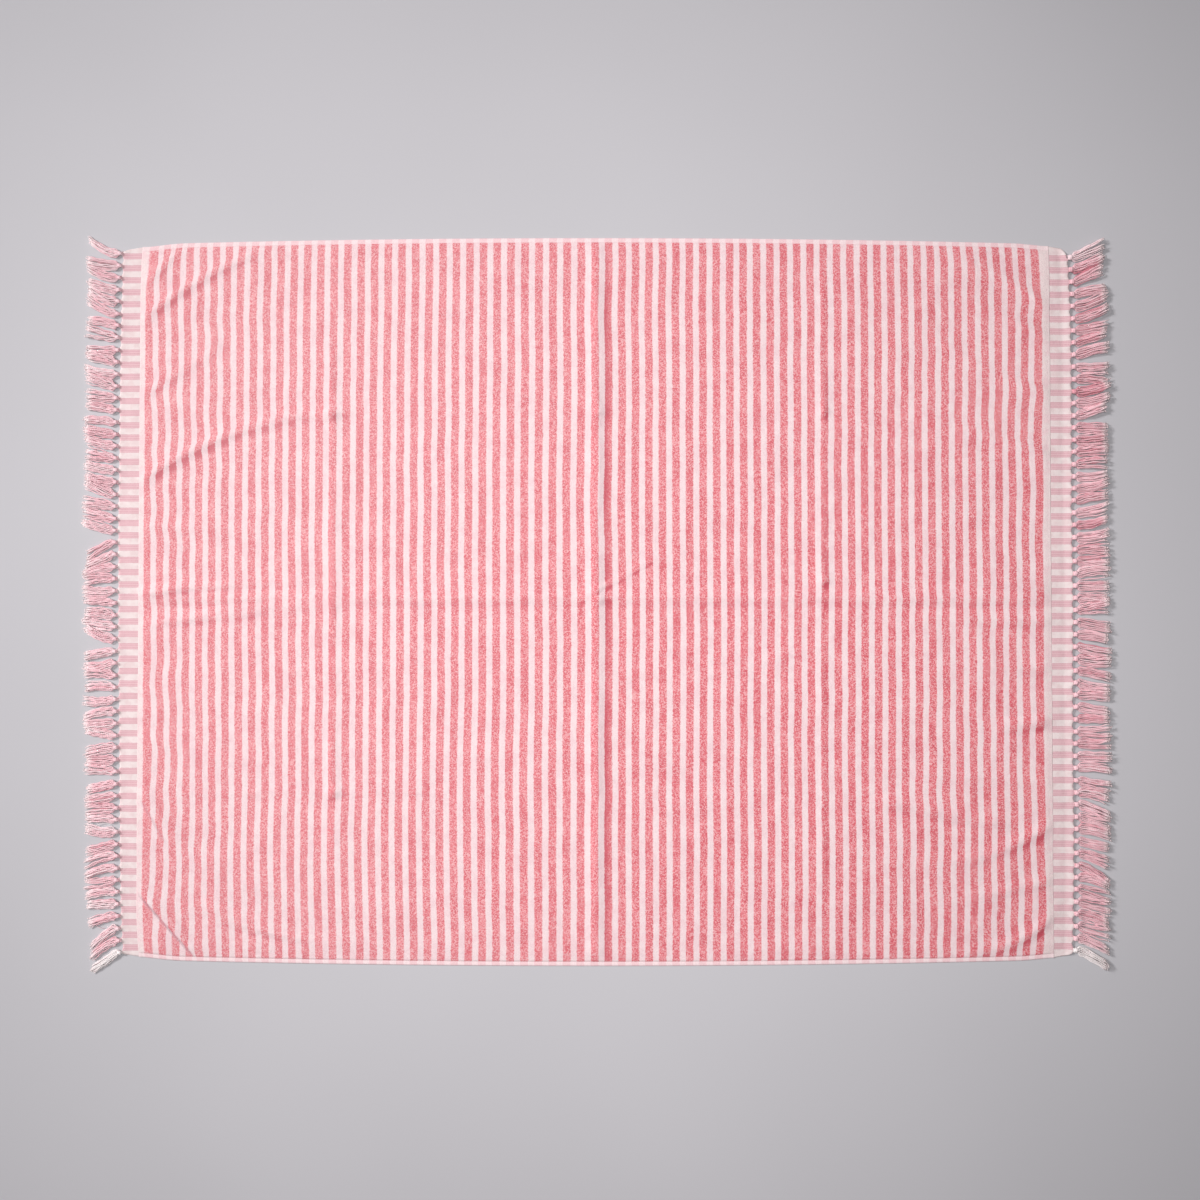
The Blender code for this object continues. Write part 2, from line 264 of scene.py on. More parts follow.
# sharper marks left by folding: from x0, y0 to x1, y1, height, half width
pressMarks = (
    (-0.003, -0.740, -0.003, 0.740, 0.0008, 0.007),
    (-0.556, 0.300, -0.556, 0.465, 0.0012, 0.010),
    (-0.556, -0.520, -0.556, 0.255, 0.0010, 0.010),
    (0.468, -0.700, 0.468, 0.700, 0.0009, 0.010),
    (-0.900, 0.010, 0.900, 0.010, 0.0007, 0.008),
    (-0.560, 0.398, 0.300, 0.398, 0.0009, 0.009),
    (-0.521, -0.314, 0.003, -0.314, 0.0010, 0.009),
    (-0.877, -0.398, -0.332, -0.398, 0.0010, 0.009),
    (-0.028, 0.008, 0.108, 0.088, 0.0032, 0.009),
    (-0.785, -0.665, -0.600, -0.712, 0.0020, 0.008),
    (-0.196, 0.182, -0.018, 0.203, 0.0012, 0.010),
    (0.213, -0.163, 0.506, -0.080, 0.0010, 0.010),
    (0.850, -0.462, 0.590, -0.415, 0.0045, 0.022),
    (0.940, -0.247, 0.840, -0.256, 0.0045, 0.022),
    (-0.960, 0.024, -0.850, 0.040, 0.0030, 0.016),
    (-0.875, -0.036, -0.715, -0.021, 0.0014, 0.010),
)

# strips of fine crumples: from x0, y0 to x1, y1, half width, height
crumples = (
    (-0.556, -0.520, -0.556, 0.640, 0.020, 0.0011),
    (-0.003, -0.700, -0.003, 0.700, 0.014, 0.0007),
    (0.468, -0.640, 0.468, 0.640, 0.018, 0.0009),
    (-0.430, -0.560, -0.330, -0.240, 0.030, 0.0008),
    (-0.350, 0.180, -0.350, 0.560, 0.018, 0.0008),
)

# small pinches where fold marks cross: x, y, height, radius along x
pinches = (
    (0.468, 0.398, 0.0025, 0.022),
    (0.468, 0.045, 0.0030, 0.024),
    (-0.556, -0.398, 0.0028, 0.024),
    (-0.565, 0.390, 0.0030, 0.026),
    (0.003, 0.398, 0.0022, 0.020),
    (0.003, 0.004, 0.0026, 0.022),
)


def halfWidthAt(x):
    a = np.abs(x)
    draw = np.clip((a - blanket["cornerStart"]) / (1.0 - blanket["cornerStart"]), 0.0, None)
    return blanket["halfWidth"] - blanket["sideBow"] * a * a - blanket["cornerDraw"] * draw ** 1.5


# low waves all over the cloth: height, size along x, size along y, random seed, near the ends only
ripples = (
    (0.0006, 0.21, 0.13, 11, False),
    (0.0011, 0.14, 0.034, 12, True),
    (0.00045, 0.045, 0.038, 13, False),
)

marking = {
    "strength": 1.3,          # of the press marks, against the heights in their table
    "pinchStrength": 1.5,     # the same for the pinches
    "pinchSquash": 1.5,       # pinches are narrower along y by this much
    "wander": 0.004,          # how far a press mark strays from its line
    "taper": 0.05,            # marks and crumples fade in and out over this length
    "crumpleSize": (0.011, 0.017),    # size of the crumples along x and y
}


def endX(side, y):
    # where the fringed end of the cloth lies at this y
    across = np.clip(np.abs(y) / blanket["halfWidth"], 0.0, 1.0)
    draw = np.where(y > 0.0, blanket["endDraw"][(side, 1)], blanket["endDraw"][(side, -1)])
    plain = blanket["shiftX"] + outwards[side] * (blanket["length"] / 2 - draw * across ** 6)
    places, shifts = zip(*endShifts[side])
    return plain + np.interp(y, places, shifts) * mm


def foldLine(row, x, y):
    # distance across the crest, share of the run, and how far past its ends
    x0, y0, x1, y1, bow = row[:5]
    run = x1 - x0
    s = (x - x0) / run
    t = np.clip(s, 0.0, 1.0)
    slope = (y1 - y0 + 4.0 * bow * (1.0 - 2.0 * t)) / run
    crest = y0 + (y1 - y0) * t + 4.0 * bow * t * (1.0 - t) + slope * (s - t) * run
    past = np.abs(s - t) * abs(run)
    length = np.hypot(1.0, slope)
    return (y - crest) / length, t, past, slope / length, 1.0 / length


def foldHeight(x, y):
    # how high the soft folds lift the cloth's underside off the floor
    total = np.zeros_like(x)
    for row in folds:
        h0, h1, half, _ = row[5:]
        across, t, past, _, _ = foldLine(row, x, y)
        h = (h0 + (h1 - h0) * t) * (1.0 - smooth(past / blanket["foldTaper"]))
        swell = blanket["foldBroad"] * ridge(across, half)
        crest = blanket["foldSharp"] * ridge(across, 0.50 * half)
        total += (h * (swell + crest)) ** 2
    total += (crossFold["height"] * ridge(x - crossFold["x"], crossFold["half"])) ** 2
    total += (longFold["height"] * ridge(y - longFold["y"], longFold["half"])) ** 2
    return np.sqrt(total)


def markHeight(x, y):
    # press marks, crumples and pinches, all finer than the folds
    total = np.zeros_like(x)
    taper = marking["taper"]
    for x0, y0, x1, y1, height, half in pressMarks:
        along, across, run = fromLine(x, y, x0, y0, x1, y1)
        across = across + marking["wander"] * softNoise(along, x0, 0.11, 1.0, 31)
        ends = smooth(along / taper + 0.5) * smooth((run - along) / taper + 0.5)
        uneven = 0.65 + 0.35 * softNoise(along, y1, 0.09, 1.0, 32)
        total += marking["strength"] * height * ridge(across, half) * ends * uneven
    for x0, y0, x1, y1, half, height in crumples:
        along, across, run = fromLine(x, y, x0, y0, x1, y1)
        strip = ridge(across, half) * smooth(along / taper) * smooth((run - along) / taper)
        patchy = smooth(0.5 + 1.4 * softNoise(along, x0, 0.07, 1.0, 34))
        crinkled = 1.0 + softNoise(x + 0.6 * y, y - 0.4 * x, *marking["crumpleSize"], 33)
        total += height * strip * patchy * crinkled
    for px, py, height, radius in pinches:
        away = np.hypot(x - px, (y - py) * marking["pinchSquash"])
        total += marking["pinchStrength"] * height * ridge(away, radius)
    return total


def relief(x, y):
    # everything that lifts the underside off the floor
    toEnd = np.abs(np.where(x < 0.0, x - endX("left", y), endX("right", y) - x))
    toSide = halfWidthAt(x) - np.abs(y)
    fade = smooth(toEnd / blanket["edgeFlat"]) * smooth(toSide / blanket["edgeFlat"])
    nearEnd = np.exp(-toEnd / blanket["endReach"])
    small = np.zeros_like(x)
    for height, sizeX, sizeY, seed, endsOnly in ripples:
        small += height * (nearEnd if endsOnly else 1.0) * (1.0 + softNoise(x, y, sizeX, sizeY, seed))
    small += markHeight(x, y)
    rim = 0.25 + 0.75 * smooth(toSide / 0.03)    # the hems lie flatter
    inField = smooth((toEnd - 0.028) / 0.050)    # the woven ends carry no folds
    return foldHeight(x, y) * fade * inField + small * fade * rim


def takeUp(x, y):
    # a fold takes cloth in from both sides, so the stripes jog where one crosses them
    moveX, moveY = np.zeros_like(x), np.zeros_like(x)
    for row in folds:
        h0, h1, half, takenIn = row[5:]
        across, t, past, sine, cosine = foldLine(row, x, y)
        taken = takenIn * mm * (1.0 + (h1 / h0 - 1.0) * t) * (1.0 - smooth(past / 0.08))
        crest = 0.6 * half    # the jog happens within this
        away = np.abs(across)
        reach = np.exp(-np.clip(away - crest, 0.0, None) / blanket["foldPull"])
        move = -0.5 * taken * np.sign(across) * smooth(away / crest) * reach
        moveX += -move * sine
        moveY += move * cosine
    return moveX, moveY


def pleatShift(x, y):
    # the stripes jump sideways where they cross a pleat
    total = np.zeros_like(x)
    for x0, y0, x1, y1, jump, _ in pleats:
        along, across, run = fromLine(x, y, x0, y0, x1, y1)
        ends = smooth(along / 0.03 + 0.5) * smooth((run - along) / 0.03 + 0.5)
        away = np.abs(across)
        sharp = np.sign(across) * smooth(away / 0.0045)
        total -= 0.5 * jump * mm * (sharp * np.exp(-away / 0.030)) * ends    # half to each side
    return total


shiftAt = [stripes["first"] + k * stripes["pitch"] for k, _ in stripeShifts]
shiftBy = [shift * mm for _, shift in stripeShifts]


def layOut(s, v):
    # where a point of the flat cloth comes to lie: s along the length, v across at mid length
    across = v / blanket["halfWidth"]
    x = s + np.interp(s, shiftAt, shiftBy) - stripes["skew"] * across * s / stripes["skewAt"]
    for side, half, onStripes, onEdge in cornerPulls:
        inward = np.abs(s - stripes["field"][side])
        share = onEdge + (onStripes - onEdge) * smooth(inward / 0.012)
        nearCorner = np.clip((across * half - 0.84) / 0.16, 0.0, 1.0) ** 2    # the outer sixth
        x = x + share * mm * np.exp(-inward / 0.19) * nearCorner
    y = across * halfWidthAt(s)
    toEnd = np.minimum(s - stripes["field"]["left"], stripes["field"]["right"] - s)
    toSide = blanket["halfWidth"] - np.abs(v)
    loose = smooth(toEnd / 0.03) * (0.3 + 0.7 * smooth(toSide / 0.05))    # edges stay straighter
    wobble = stripes["wobble"] + stripes["wobbleAtEnds"] * np.exp(-toEnd / 0.17)
    x = x + loose * wobble * softNoise(s, v, 0.10, 0.040, 21)
    x = x + loose * stripes["drift"] * softNoise(s, v, 0.16, 0.10, 22)
    inField = smooth(toEnd / 0.02)    # the seams keep their own line
    for bowX, bowY, reachX, reachY, shift in bows:
        reach = np.exp(-((s - bowX) / reachX) ** 2 - ((y - bowY) / reachY) ** 2)
        x = x + shift * mm * reach * inField
    moveX, moveY = takeUp(x, y)
    return x + (moveX + pleatShift(x, y)) * inField, y + moveY * smooth(toSide / 0.06)


# node helpers

def nodeMaker(material):
    tree = material.node_tree

    def make(kind, inputs=(), out=0, **settings):
        node = tree.nodes.new("ShaderNode" + kind)
        for key, value in settings.items():
            setattr(node, key, value)
        pairs = inputs.items() if isinstance(inputs, dict) else enumerate(inputs)
        for key, value in pairs:
            if isinstance(value, bpy.types.NodeSocket):
                tree.links.new(value, node.inputs[key])
            elif value is not None:
                node.inputs[key].default_value = value
        return node.outputs[out]

    return make


def sums(make):
    # short names for the arithmetic that the materials share
    def calc(operation, a, b=0.0, c=0.0):
        return make("Math", (a, b, c), operation=operation)

    def ramp(value, low, high, fromValue=0.0, toValue=1.0):
        limits = {"From Min": low, "From Max": high, "To Min": fromValue, "To Max": toValue}
        return make("MapRange", {"Value": value, **limits}, interpolation_type="SMOOTHSTEP")

    def blend(amount, first, second, how="MIX"):
        return make("Mix", {0: amount, 6: first, 7: second}, out=2, data_type="RGBA", blend_type=how)

    def noise(where, scale, detail=2.0, roughness=0.5):
        settings = {"Scale": scale, "Detail": detail, "Roughness": roughness}
        return make("TexNoise", {"Vector": where, **settings})

    return calc, ramp, blend, noise


def clothMaterial(name, look):
    material = bpy.data.materials.new(name)
    material.use_nodes = True
    shader = material.node_tree.nodes["Principled BSDF"]
    shader.inputs["Roughness"].default_value = look["roughness"]
    shader.inputs["Specular IOR Level"].default_value = 0.18
    shader.inputs["Sheen Weight"].default_value = look["sheen"]
    shader.inputs["Sheen Roughness"].default_value = look["sheenRoughness"]
    shader.inputs["Sheen Tint"].default_value = look["sheenTint"]
    return material, shader


def finish(material, shader, colour, height, depth, strength):
    links = material.node_tree.links
    links.new(colour, shader.inputs["Base Color"])
    bump = material.node_tree.nodes.new("ShaderNodeBump")
    bump.inputs["Strength"].default_value = strength
    bump.inputs["Distance"].default_value = depth
    links.new(height, bump.inputs["Height"])
    links.new(bump.outputs[0], shader.inputs["Normal"])


# terry

terryLook = {
    "coralLight": tint(239, 129, 137),
    "coral": tint(233, 114, 123),
    "coralDeep": tint(214, 88, 101),
    # painted shade: the coral in the fold valleys and on slopes away from the light
    "coralPaintedShade": tint(209, 80, 96),
    "white": tint(250, 225, 227),
    # a deeper white for tufts and patches, also used as painted shade in the folds and beside the
    # pleats
    "whiteDeepAndShade": tint(245, 207, 212),
    "margin": tint(249, 228, 227),
    "fleck": tint(248, 194, 197),
    "hemPink": tint(246, 208, 212),
    "stitch": tint(236, 206, 209),
    "stitches": 8.6,          # for each stripe
    # colour of the painted shadow line along each pleat
    "pleatShadow": tint(176, 126, 138),
    "leeShade": 4.5,          # how much painted shade darkens the slopes that fall away from the light
    "paintedLightLeft": 0.13,         # painted light: how much paler the coral is made towards the left end
    "paintedLightTop": 0.04,          # and towards the top side, also painted light
    "loop": 0.0019,           # spacing of the loops
    "nap": 360.0,             # how fine the pale and deep flecks of the pile are
    "grain": 500.0,
    "clump": 95.0,            # and its clumps, patches and blotches
    "patch": 22.0,
    "blotch": 17.0,
    "roughness": 0.93,
    "sheen": 0.20,
    "sheenRoughness": 0.45,
    "sheenTint": tint(255, 232, 230),
    "bump": 0.55,
    "bumpDepth": 0.0011,
}


def coralMask(make, stripe, inward, inHem, place):
    # 1 on the coral stripes, with the ragged edges of a pile, and slanted where the hem turns
    calc, ramp, blend, noise = sums(make)
    wander = calc("SUBTRACT", noise(place, 240.0), 0.5)
    ragged = calc("SUBTRACT", noise(place, 760.0, 1.0), 0.5)
    edge = calc("ADD", calc("MULTIPLY", wander, 0.12), calc("MULTIPLY", ragged, 0.16))
    edge = calc("MULTIPLY", edge, calc("SUBTRACT", 1.0, calc("MULTIPLY", inHem, 0.6)))
    slant = calc("MULTIPLY", calc("MULTIPLY", inHem, inward), 5.0)
    at = calc("ADD", calc("ADD", stripe, edge), slant)
    at = calc("MINIMUM", calc("MAXIMUM", at, -0.5), stripes["count"] - 0.5)
    half = stripes["width"] / stripes["pitch"] / 2
    return ramp(calc("PINGPONG", at, 0.5), half - 0.022, half + 0.022, 1.0, 0.0)


def coralPile(make, place, spot, shade, grain, nap, paintedShade):
    # flecked with pale tips and deeper in patches, with painted shade in the creases and painted light
    # paling it to the left and the top
    look = terryLook
    calc, ramp, blend, noise = sums(make)
    coral = blend(ramp(shade, 0.36, 0.52, 0.40, 1.0), look["coralDeep"], look["coral"])
    coral = blend(ramp(shade, 0.48, 0.62), coral, look["coralLight"])
    coral = blend(ramp(grain, 0.52, 0.60, 0.0, 0.85), coral, look["fleck"])
    coral = blend(ramp(nap, 0.52, 0.60, 0.0, 0.90), coral, look["fleck"])
    coral = blend(ramp(nap, 0.48, 0.38, 0.0, 0.85), coral, look["coralDeep"])
    blotch = ramp(noise(place, look["blotch"]), 0.52, 0.70, 0.0, 0.30)
    coral = blend(blotch, coral, look["coralDeep"])
    # painted shade in the fold valleys and on slopes away from the light
    coral = blend(ramp(paintedShade, 0.10, 0.9, 0.0, 0.85), coral, look["coralPaintedShade"])
    # painted light: the coral paler towards the left end and the top side
    coral = blend(ramp(spot.outputs[0], 0.55, -0.95, 0.0, look["paintedLightLeft"]), coral, look["white"])
    return blend(ramp(spot.outputs[1], -0.10, 0.45, 0.0, look["paintedLightTop"]), coral, look["white"])


def whitePile(make, stripe, shade, grain, nap, paintedShade):
    # the white stripes, and the plain white margins past the first and the last coral one
    look = terryLook
    calc, ramp, blend, noise = sums(make)
    last = stripes["count"] - 1
    before = ramp(stripe, -0.36, -0.28, 1.0, 0.0)
    past = ramp(stripe, last + 0.28, last + 0.36)
    white = blend(calc("MAXIMUM", before, past), look["white"], look["margin"])
    white = blend(ramp(shade, 0.38, 0.58, 0.6, 0.0), white, look["whiteDeepAndShade"])
    white = blend(ramp(grain, 0.43, 0.30, 0.0, 0.45), white, look["whiteDeepAndShade"])
    white = blend(ramp(nap, 0.45, 0.31, 0.0, 0.60), white, look["whiteDeepAndShade"])
    # painted shade in the fold valleys and on slopes away from the light
    return blend(ramp(paintedShade, 0.15, 1.0, 0.0, 0.20), white, look["whiteDeepAndShade"])


def paintPleatShadows(make, colour, place, spot):
    # each pleat is a painted dark shadow line with a soft painted shade below it
    look = terryLook
    calc, ramp, blend, noise = sums(make)
    for x0, y0, x1, y1, _, dark in pleats:
        run = math.hypot(x1 - x0, y1 - y0)
        dx, dy = (x1 - x0) / run, (y1 - y0) / run
        offX = calc("SUBTRACT", spot.outputs[0], x0 + placeX)
        offY = calc("SUBTRACT", spot.outputs[1], y0 + placeY)
        reached = calc("ADD", calc("MULTIPLY", offX, dx), calc("MULTIPLY", offY, dy))
        across = calc("SUBTRACT", calc("MULTIPLY", offY, dx), calc("MULTIPLY", offX, dy))
        wander = calc("MULTIPLY", calc("SUBTRACT", noise(place, 30.0), 0.5), 0.004)
        across = calc("ADD", across, wander)
        tail = ramp(reached, run - 0.02, run + 0.008, 1.0, 0.0)
        within = calc("MULTIPLY", ramp(reached, -0.012, 0.02), tail)
        # painted shadow line along the pleat, and painted shade on its lower side
        line = ramp(calc("ABSOLUTE", across), 0.0008, 0.0050, dark, 0.0)
        lee = calc("MULTIPLY", within, ramp(across, -0.012, -0.001, 0.0, 0.5 * dark))
        lee = calc("MULTIPLY", lee, ramp(across, -0.001, 0.0015, 1.0, 0.0))
        colour = blend(lee, colour, look["whiteDeepAndShade"])
        colour = blend(calc("MULTIPLY", within, line), colour, look["pleatShadow"])
    return colour


def terryMaterial():
    look = terryLook
    material, shader = clothMaterial("terryPile", look)
    make = nodeMaker(material)
    calc, ramp, blend, noise = sums(make)
    split = make("SeparateXYZ", (make("UVMap", uv_map="clothMap"),)).node
    stripe, inward = split.outputs[0], split.outputs[1]
    place = make("TexCoord", out=3)
    spot = make("SeparateXYZ", (place,)).node
    # painted shade of the folds, worked out from the relief
    paintedShade = make("Attribute", out=2, attribute_name="paintedShade")
    clump = noise(place, look["clump"])
    nap = noise(place, look["nap"], 3.0, 0.7)
    grain = noise(place, look["grain"], 2.0, 0.65)
    patch = noise(place, look["patch"], 3.0, 0.55)
    shade = calc("ADD", calc("MULTIPLY", patch, 0.60), calc("MULTIPLY", clump, 0.40))
    loops = make("TexVoronoi", {"Vector": place, "Scale": 1.0 / look["loop"]}, feature="F1")

    inHem = ramp(inward, blanket["hem"] - 0.0006, blanket["hem"] + 0.0006, 1.0, 0.0)
    isCoral = coralMask(make, stripe, inward, inHem, place)
    coral = coralPile(make, place, spot, shade, grain, nap, paintedShade)
    colour = blend(isCoral, whitePile(make, stripe, shade, grain, nap, paintedShade), coral)
    colour = blend(inHem, colour, blend(isCoral, look["white"], look["hemPink"]))
    # painted shadow lines and painted shade along the pleats
    colour = paintPleatShadows(make, colour, place, spot)

    # the stitches that hold the hem
    dash = calc("PINGPONG", calc("MULTIPLY", stripe, look["stitches"]), 0.5)
    fromSeam = calc("ABSOLUTE", calc("SUBTRACT", inward, blanket["hem"]))
    line = ramp(fromSeam, 0.0003, 0.0008, 1.0, 0.0)
    stitched = calc("MULTIPLY", line, ramp(dash, 0.10, 0.18, 0.15, 0.60))
    colour = blend(stitched, colour, look["stitch"])
    # painted shade between the pile's loops, and a slight painted highlight on their tops
    loopShade = ramp(loops, 0.0, 0.75, 1.05, 0.90)
    colour = blend(1.0, colour, make("CombineColor", (loopShade, loopShade, loopShade)), "MULTIPLY")

    pile = calc("ADD", calc("MULTIPLY", loops, -0.8), calc("MULTIPLY", grain, 1.1))
    pile = calc("ADD", pile, calc("MULTIPLY", clump, 0.9))
    pile = calc("MULTIPLY", calc("SUBTRACT", 1.0, inHem), pile)
    flat = calc("MULTIPLY", inHem, calc("MULTIPLY", grain, 0.35))
    height = calc("ADD", flat, pile)
    finish(material, shader, colour, height, look["bumpDepth"], look["bump"])
    return material


def terryThickness(x, y, toSide, toEnd):
    hem, hemThick = blanket["hem"], blanket["hemThick"]
    thick = hemThick + (blanket["pile"] - hemThick) * smooth((toSide - hem) / 0.003)
    thick -= 0.0006 * ridge(toSide - hem - 0.0003, 0.0016)    # the groove that the stitches draw in
    thick *= 0.55 + 0.45 * smooth(toSide / 0.0022)    # rounded at the sides
    thick *= 0.60 + 0.40 * smooth(toEnd / 0.014)    # and thinner towards the woven ends
    tufts = 0.00022 * softNoise(x, y, 0.011, 0.0125, 41)
    return thick + tufts * smooth((toSide - hem) / 0.006)


def buildTerry():
    columns, rows = 252, 300
    left, right = stripes["field"]["left"], stripes["field"]["right"]

    def columnStep(s):
        # columns stand closest at the ends, wider from a quarter metre in, and closer on the creases
        toEnd = np.minimum(s - left, right - s)
        step = 0.0012 + 0.0032 * smooth(toEnd / 0.006) + 0.0080 * smooth((toEnd - 0.24) / 0.12)
        for line in creaseLines:
            step = step - 0.0085 * ridge(s - line, 0.03) * (toEnd > 0.3)
        return step

    def rowStep(v):
        # and rows stand closer on the hems
        toSide = blanket["halfWidth"] - np.abs(v)
        return 0.0018 + 0.0048 * smooth((toSide - 0.014) / 0.02)

    s = spaced(left, right, columns, columnStep)
    v = spaced(-blanket["halfWidth"], blanket["halfWidth"], rows, rowStep)
    gridS, gridV = np.meshgrid(s, v, indexing="ij")
    x, y = layOut(gridS, gridV)
    base = relief(x, y)
    toEnd = np.minimum(gridS - left, right - gridS)
    toSide = blanket["halfWidth"] - np.abs(gridV)
    lap = (blanket["woven"] + 0.0001) * smooth((blanket["lap"] - toEnd) / 0.0012)
    thinnest = lap + 0.0001 + 0.0001 * smooth(toEnd / 0.0025)
    top = base + np.maximum(terryThickness(x, y, toSide, toEnd), thinnest)
    under = (base + lap)[::2, ::2]    # the underside needs only every other point
    topPoints = np.stack([x, y, top], axis=-1).reshape(-1, 3)
    underPoints = np.stack([x[::2, ::2], y[::2, ::2], under], axis=-1).reshape(-1, 3)
    points = np.concatenate([topPoints, underPoints])
    points += (placeX, placeY, 0.0)

    faces = quads(columns, rows, 0, False) + quads(columns // 2, rows // 2, len(topPoints), True)
    upper = rimOf(columns, rows, 0)
    lower = rimOf(columns // 2, rows // 2, len(topPoints))
    firstRim, count = len(faces), len(lower)
    for q in range(count):
        edge = (upper[(2 * q + 2) % len(upper)], upper[2 * q + 1], upper[2 * q])
        faces.append((lower[q], lower[(q + 1) % count]) + edge)
    piece = newPiece("terry_sheet", points, faces, terryMaterial())
    # crisp edges where the terry meets the woven ends
    for q in range(count):
        rightEnd = columns // 2 <= q < (columns + rows) // 2
        leftEnd = q >= columns + rows // 2
        if rightEnd or leftEnd:
            piece.data.polygons[firstRim + q].use_smooth = False
    stripeIndex = (gridS - stripes["first"]) / stripes["pitch"]
    pairs = np.stack([stripeIndex, toSide], axis=-1)
    mapped = np.concatenate([pairs.reshape(-1, 2), pairs[::2, ::2].reshape(-1, 2)])
    addUv(piece.data, "clothMap", mapped)
    # painted shade of the folds, kept on each point
    paintedShade = paintedShadeAt(x, y, base)
    addNumber(piece.data, "paintedShade", np.concatenate([paintedShade.ravel(), paintedShade[::2, ::2].ravel()]))
    return piece


def paintedShadeAt(x, y, base):
    # painted shade: darker in the valleys, and on slopes that fall away from the light
    d = 0.010
    east, west = relief(x + d, y), relief(x - d, y)
    north, south = relief(x, y + d), relief(x, y - d)
    hollow = (east + west + north + south - 4 * base) / d ** 2 / 60.0
    falling = (0.85 * (west - east) + 0.45 * (north - south)) / (2 * d)
    return np.clip(hollow + terryLook["leeShade"] * falling, -1.0, 1.0)


def quads(columns, rows, start, turned):
    # faces of a grid whose points run along y first
    a = (np.arange(columns)[:, None] * (rows + 1) + np.arange(rows)[None, :] + start).ravel()
    b, c, d = a + rows + 1, a + rows + 2, a + 1
    order = (a, d, c, b) if turned else (a, b, c, d)
    return np.stack(order, axis=-1).tolist()


def rimOf(columns, rows, start):
    # the grid's outer points, anticlockwise from above
    def at(i, j):
        return start + i * (rows + 1) + j

    return (
        [at(i, 0) for i in range(columns)]
        + [at(columns, j) for j in range(rows)]
        + [at(i, rows) for i in range(columns, 0, -1)]
        + [at(0, j) for j in range(rows, 0, -1)]
    )


# flat-woven ends

wovenEnds = {
    "width": 0.045,
    "scallop": 0.0030,        # the edge falls back this far between the knots
    "rounding": 0.035,        # a rounded corner starts this far from the side,
    "roundWidth": 0.020,      # and this far from the fringed edge
    # pinks is how many pink stripes there are, topPink and pinkPitch place them, and crowd
    # draws them closer at the top
    "left": {"pinks": 57, "topPink": 0.7238, "pinkPitch": 0.02584, "crowd": 0.0000136},
    "right": {"pinks": 56, "topPink": 0.7194, "pinkPitch": 0.02618, "crowd": 0.0000136},
}

wovenLook = {
    "ivory": tint(245, 228, 227),
    "ivoryShade": tint(239, 216, 216),
    "pink": tint(236, 196, 201),
    "line": tint(220, 163, 174),
    "thread": 0.0012,         # spacing of the yarns in the weave
    "pinkShare": 0.49,
    "roughness": 0.88,
    "sheen": 0.10,
    "sheenRoughness": 0.5,
    "sheenTint": tint(255, 240, 236),
    "bump": 0.5,
    "bumpDepth": 0.00035,
}


def wovenMaterial(side):
    look, end = wovenLook, wovenEnds[side]
    material, shader = clothMaterial("wovenEnd" + side.title(), look)
    make = nodeMaker(material)
    calc, ramp, blend, noise = sums(make)
    split = make("SeparateXYZ", (make("UVMap", uv_map="bandMap"),)).node
    at, inward = split.outputs[0], split.outputs[1]
    place = make("TexCoord", out=3)
    spots = make("SeparateXYZ", (place,)).node

    ragged = calc("MULTIPLY", calc("SUBTRACT", noise(place, 500.0, 1.0), 0.5), 0.06)
    kept = calc("MINIMUM", calc("MAXIMUM", calc("ADD", at, ragged), -0.5), end["pinks"] - 0.5)
    fromMiddle = calc("PINGPONG", kept, 0.5)
    half = look["pinkShare"] / 2
    inPink = ramp(fromMiddle, half - 0.018, half + 0.018, 1.0, 0.0)
    inPink = calc("MULTIPLY", inPink, ramp(inward, 0.0005, 0.0020, 0.55, 1.0))

    def lineAt(where, width):
        away = calc("ABSOLUTE", calc("SUBTRACT", fromMiddle, where))
        return ramp(away, width * 0.5, width, 1.0, 0.0)

    lines = calc("MAXIMUM", lineAt(0.085, 0.034), lineAt(half - 0.02, 0.040))
    warp = calc("SINE", calc("MULTIPLY", spots.outputs[1], 2 * math.pi / look["thread"]))
    weft = calc("SINE", calc("MULTIPLY", spots.outputs[0], 2 * math.pi / look["thread"]))
    weave = calc("MULTIPLY", warp, weft)
    patch = noise(place, 60.0, 3.0)
    ivory = blend(ramp(patch, 0.35, 0.60), look["ivoryShade"], look["ivory"])
    ivory = blend(ramp(weave, 0.1, 0.9, 0.0, 0.22), ivory, look["ivoryShade"])
    pink = blend(calc("MULTIPLY", lines, 0.75), look["pink"], look["line"])
    pink = blend(ramp(weave, 0.1, 0.9, 0.0, 0.25), pink, look["line"])
    colour = blend(inPink, ivory, pink)
    height = calc("ADD", weave, calc("MULTIPLY", noise(place, 300.0, 2.0), 1.5))
    height = calc("ADD", height, calc("MULTIPLY", inPink, 0.5))
    finish(material, shader, colour, height, look["bumpDepth"], look["bump"])
    return material


def tasselY(side, index):
    fringe = fringes[side]
    return fringe["top"] + (fringe["bottom"] - fringe["top"]) * index / (fringe["count"] - 1)


def tasselIndex(side, y):
    fringe = fringes[side]
    return (y - fringe["top"]) / (fringe["bottom"] - fringe["top"]) * (fringe["count"] - 1)


def scallopAt(index):
    # the cloth's edge falls back between the knots
    return wovenEnds["scallop"] * (0.5 - 0.5 * np.cos(2 * np.pi * index))


def pinkIndex(side, y):
    end = wovenEnds[side]
    j = (end["topPink"] - y) / end["pinkPitch"]
    return j + end["crowd"] / end["pinkPitch"] * j * (end["pinks"] - 1 - j)


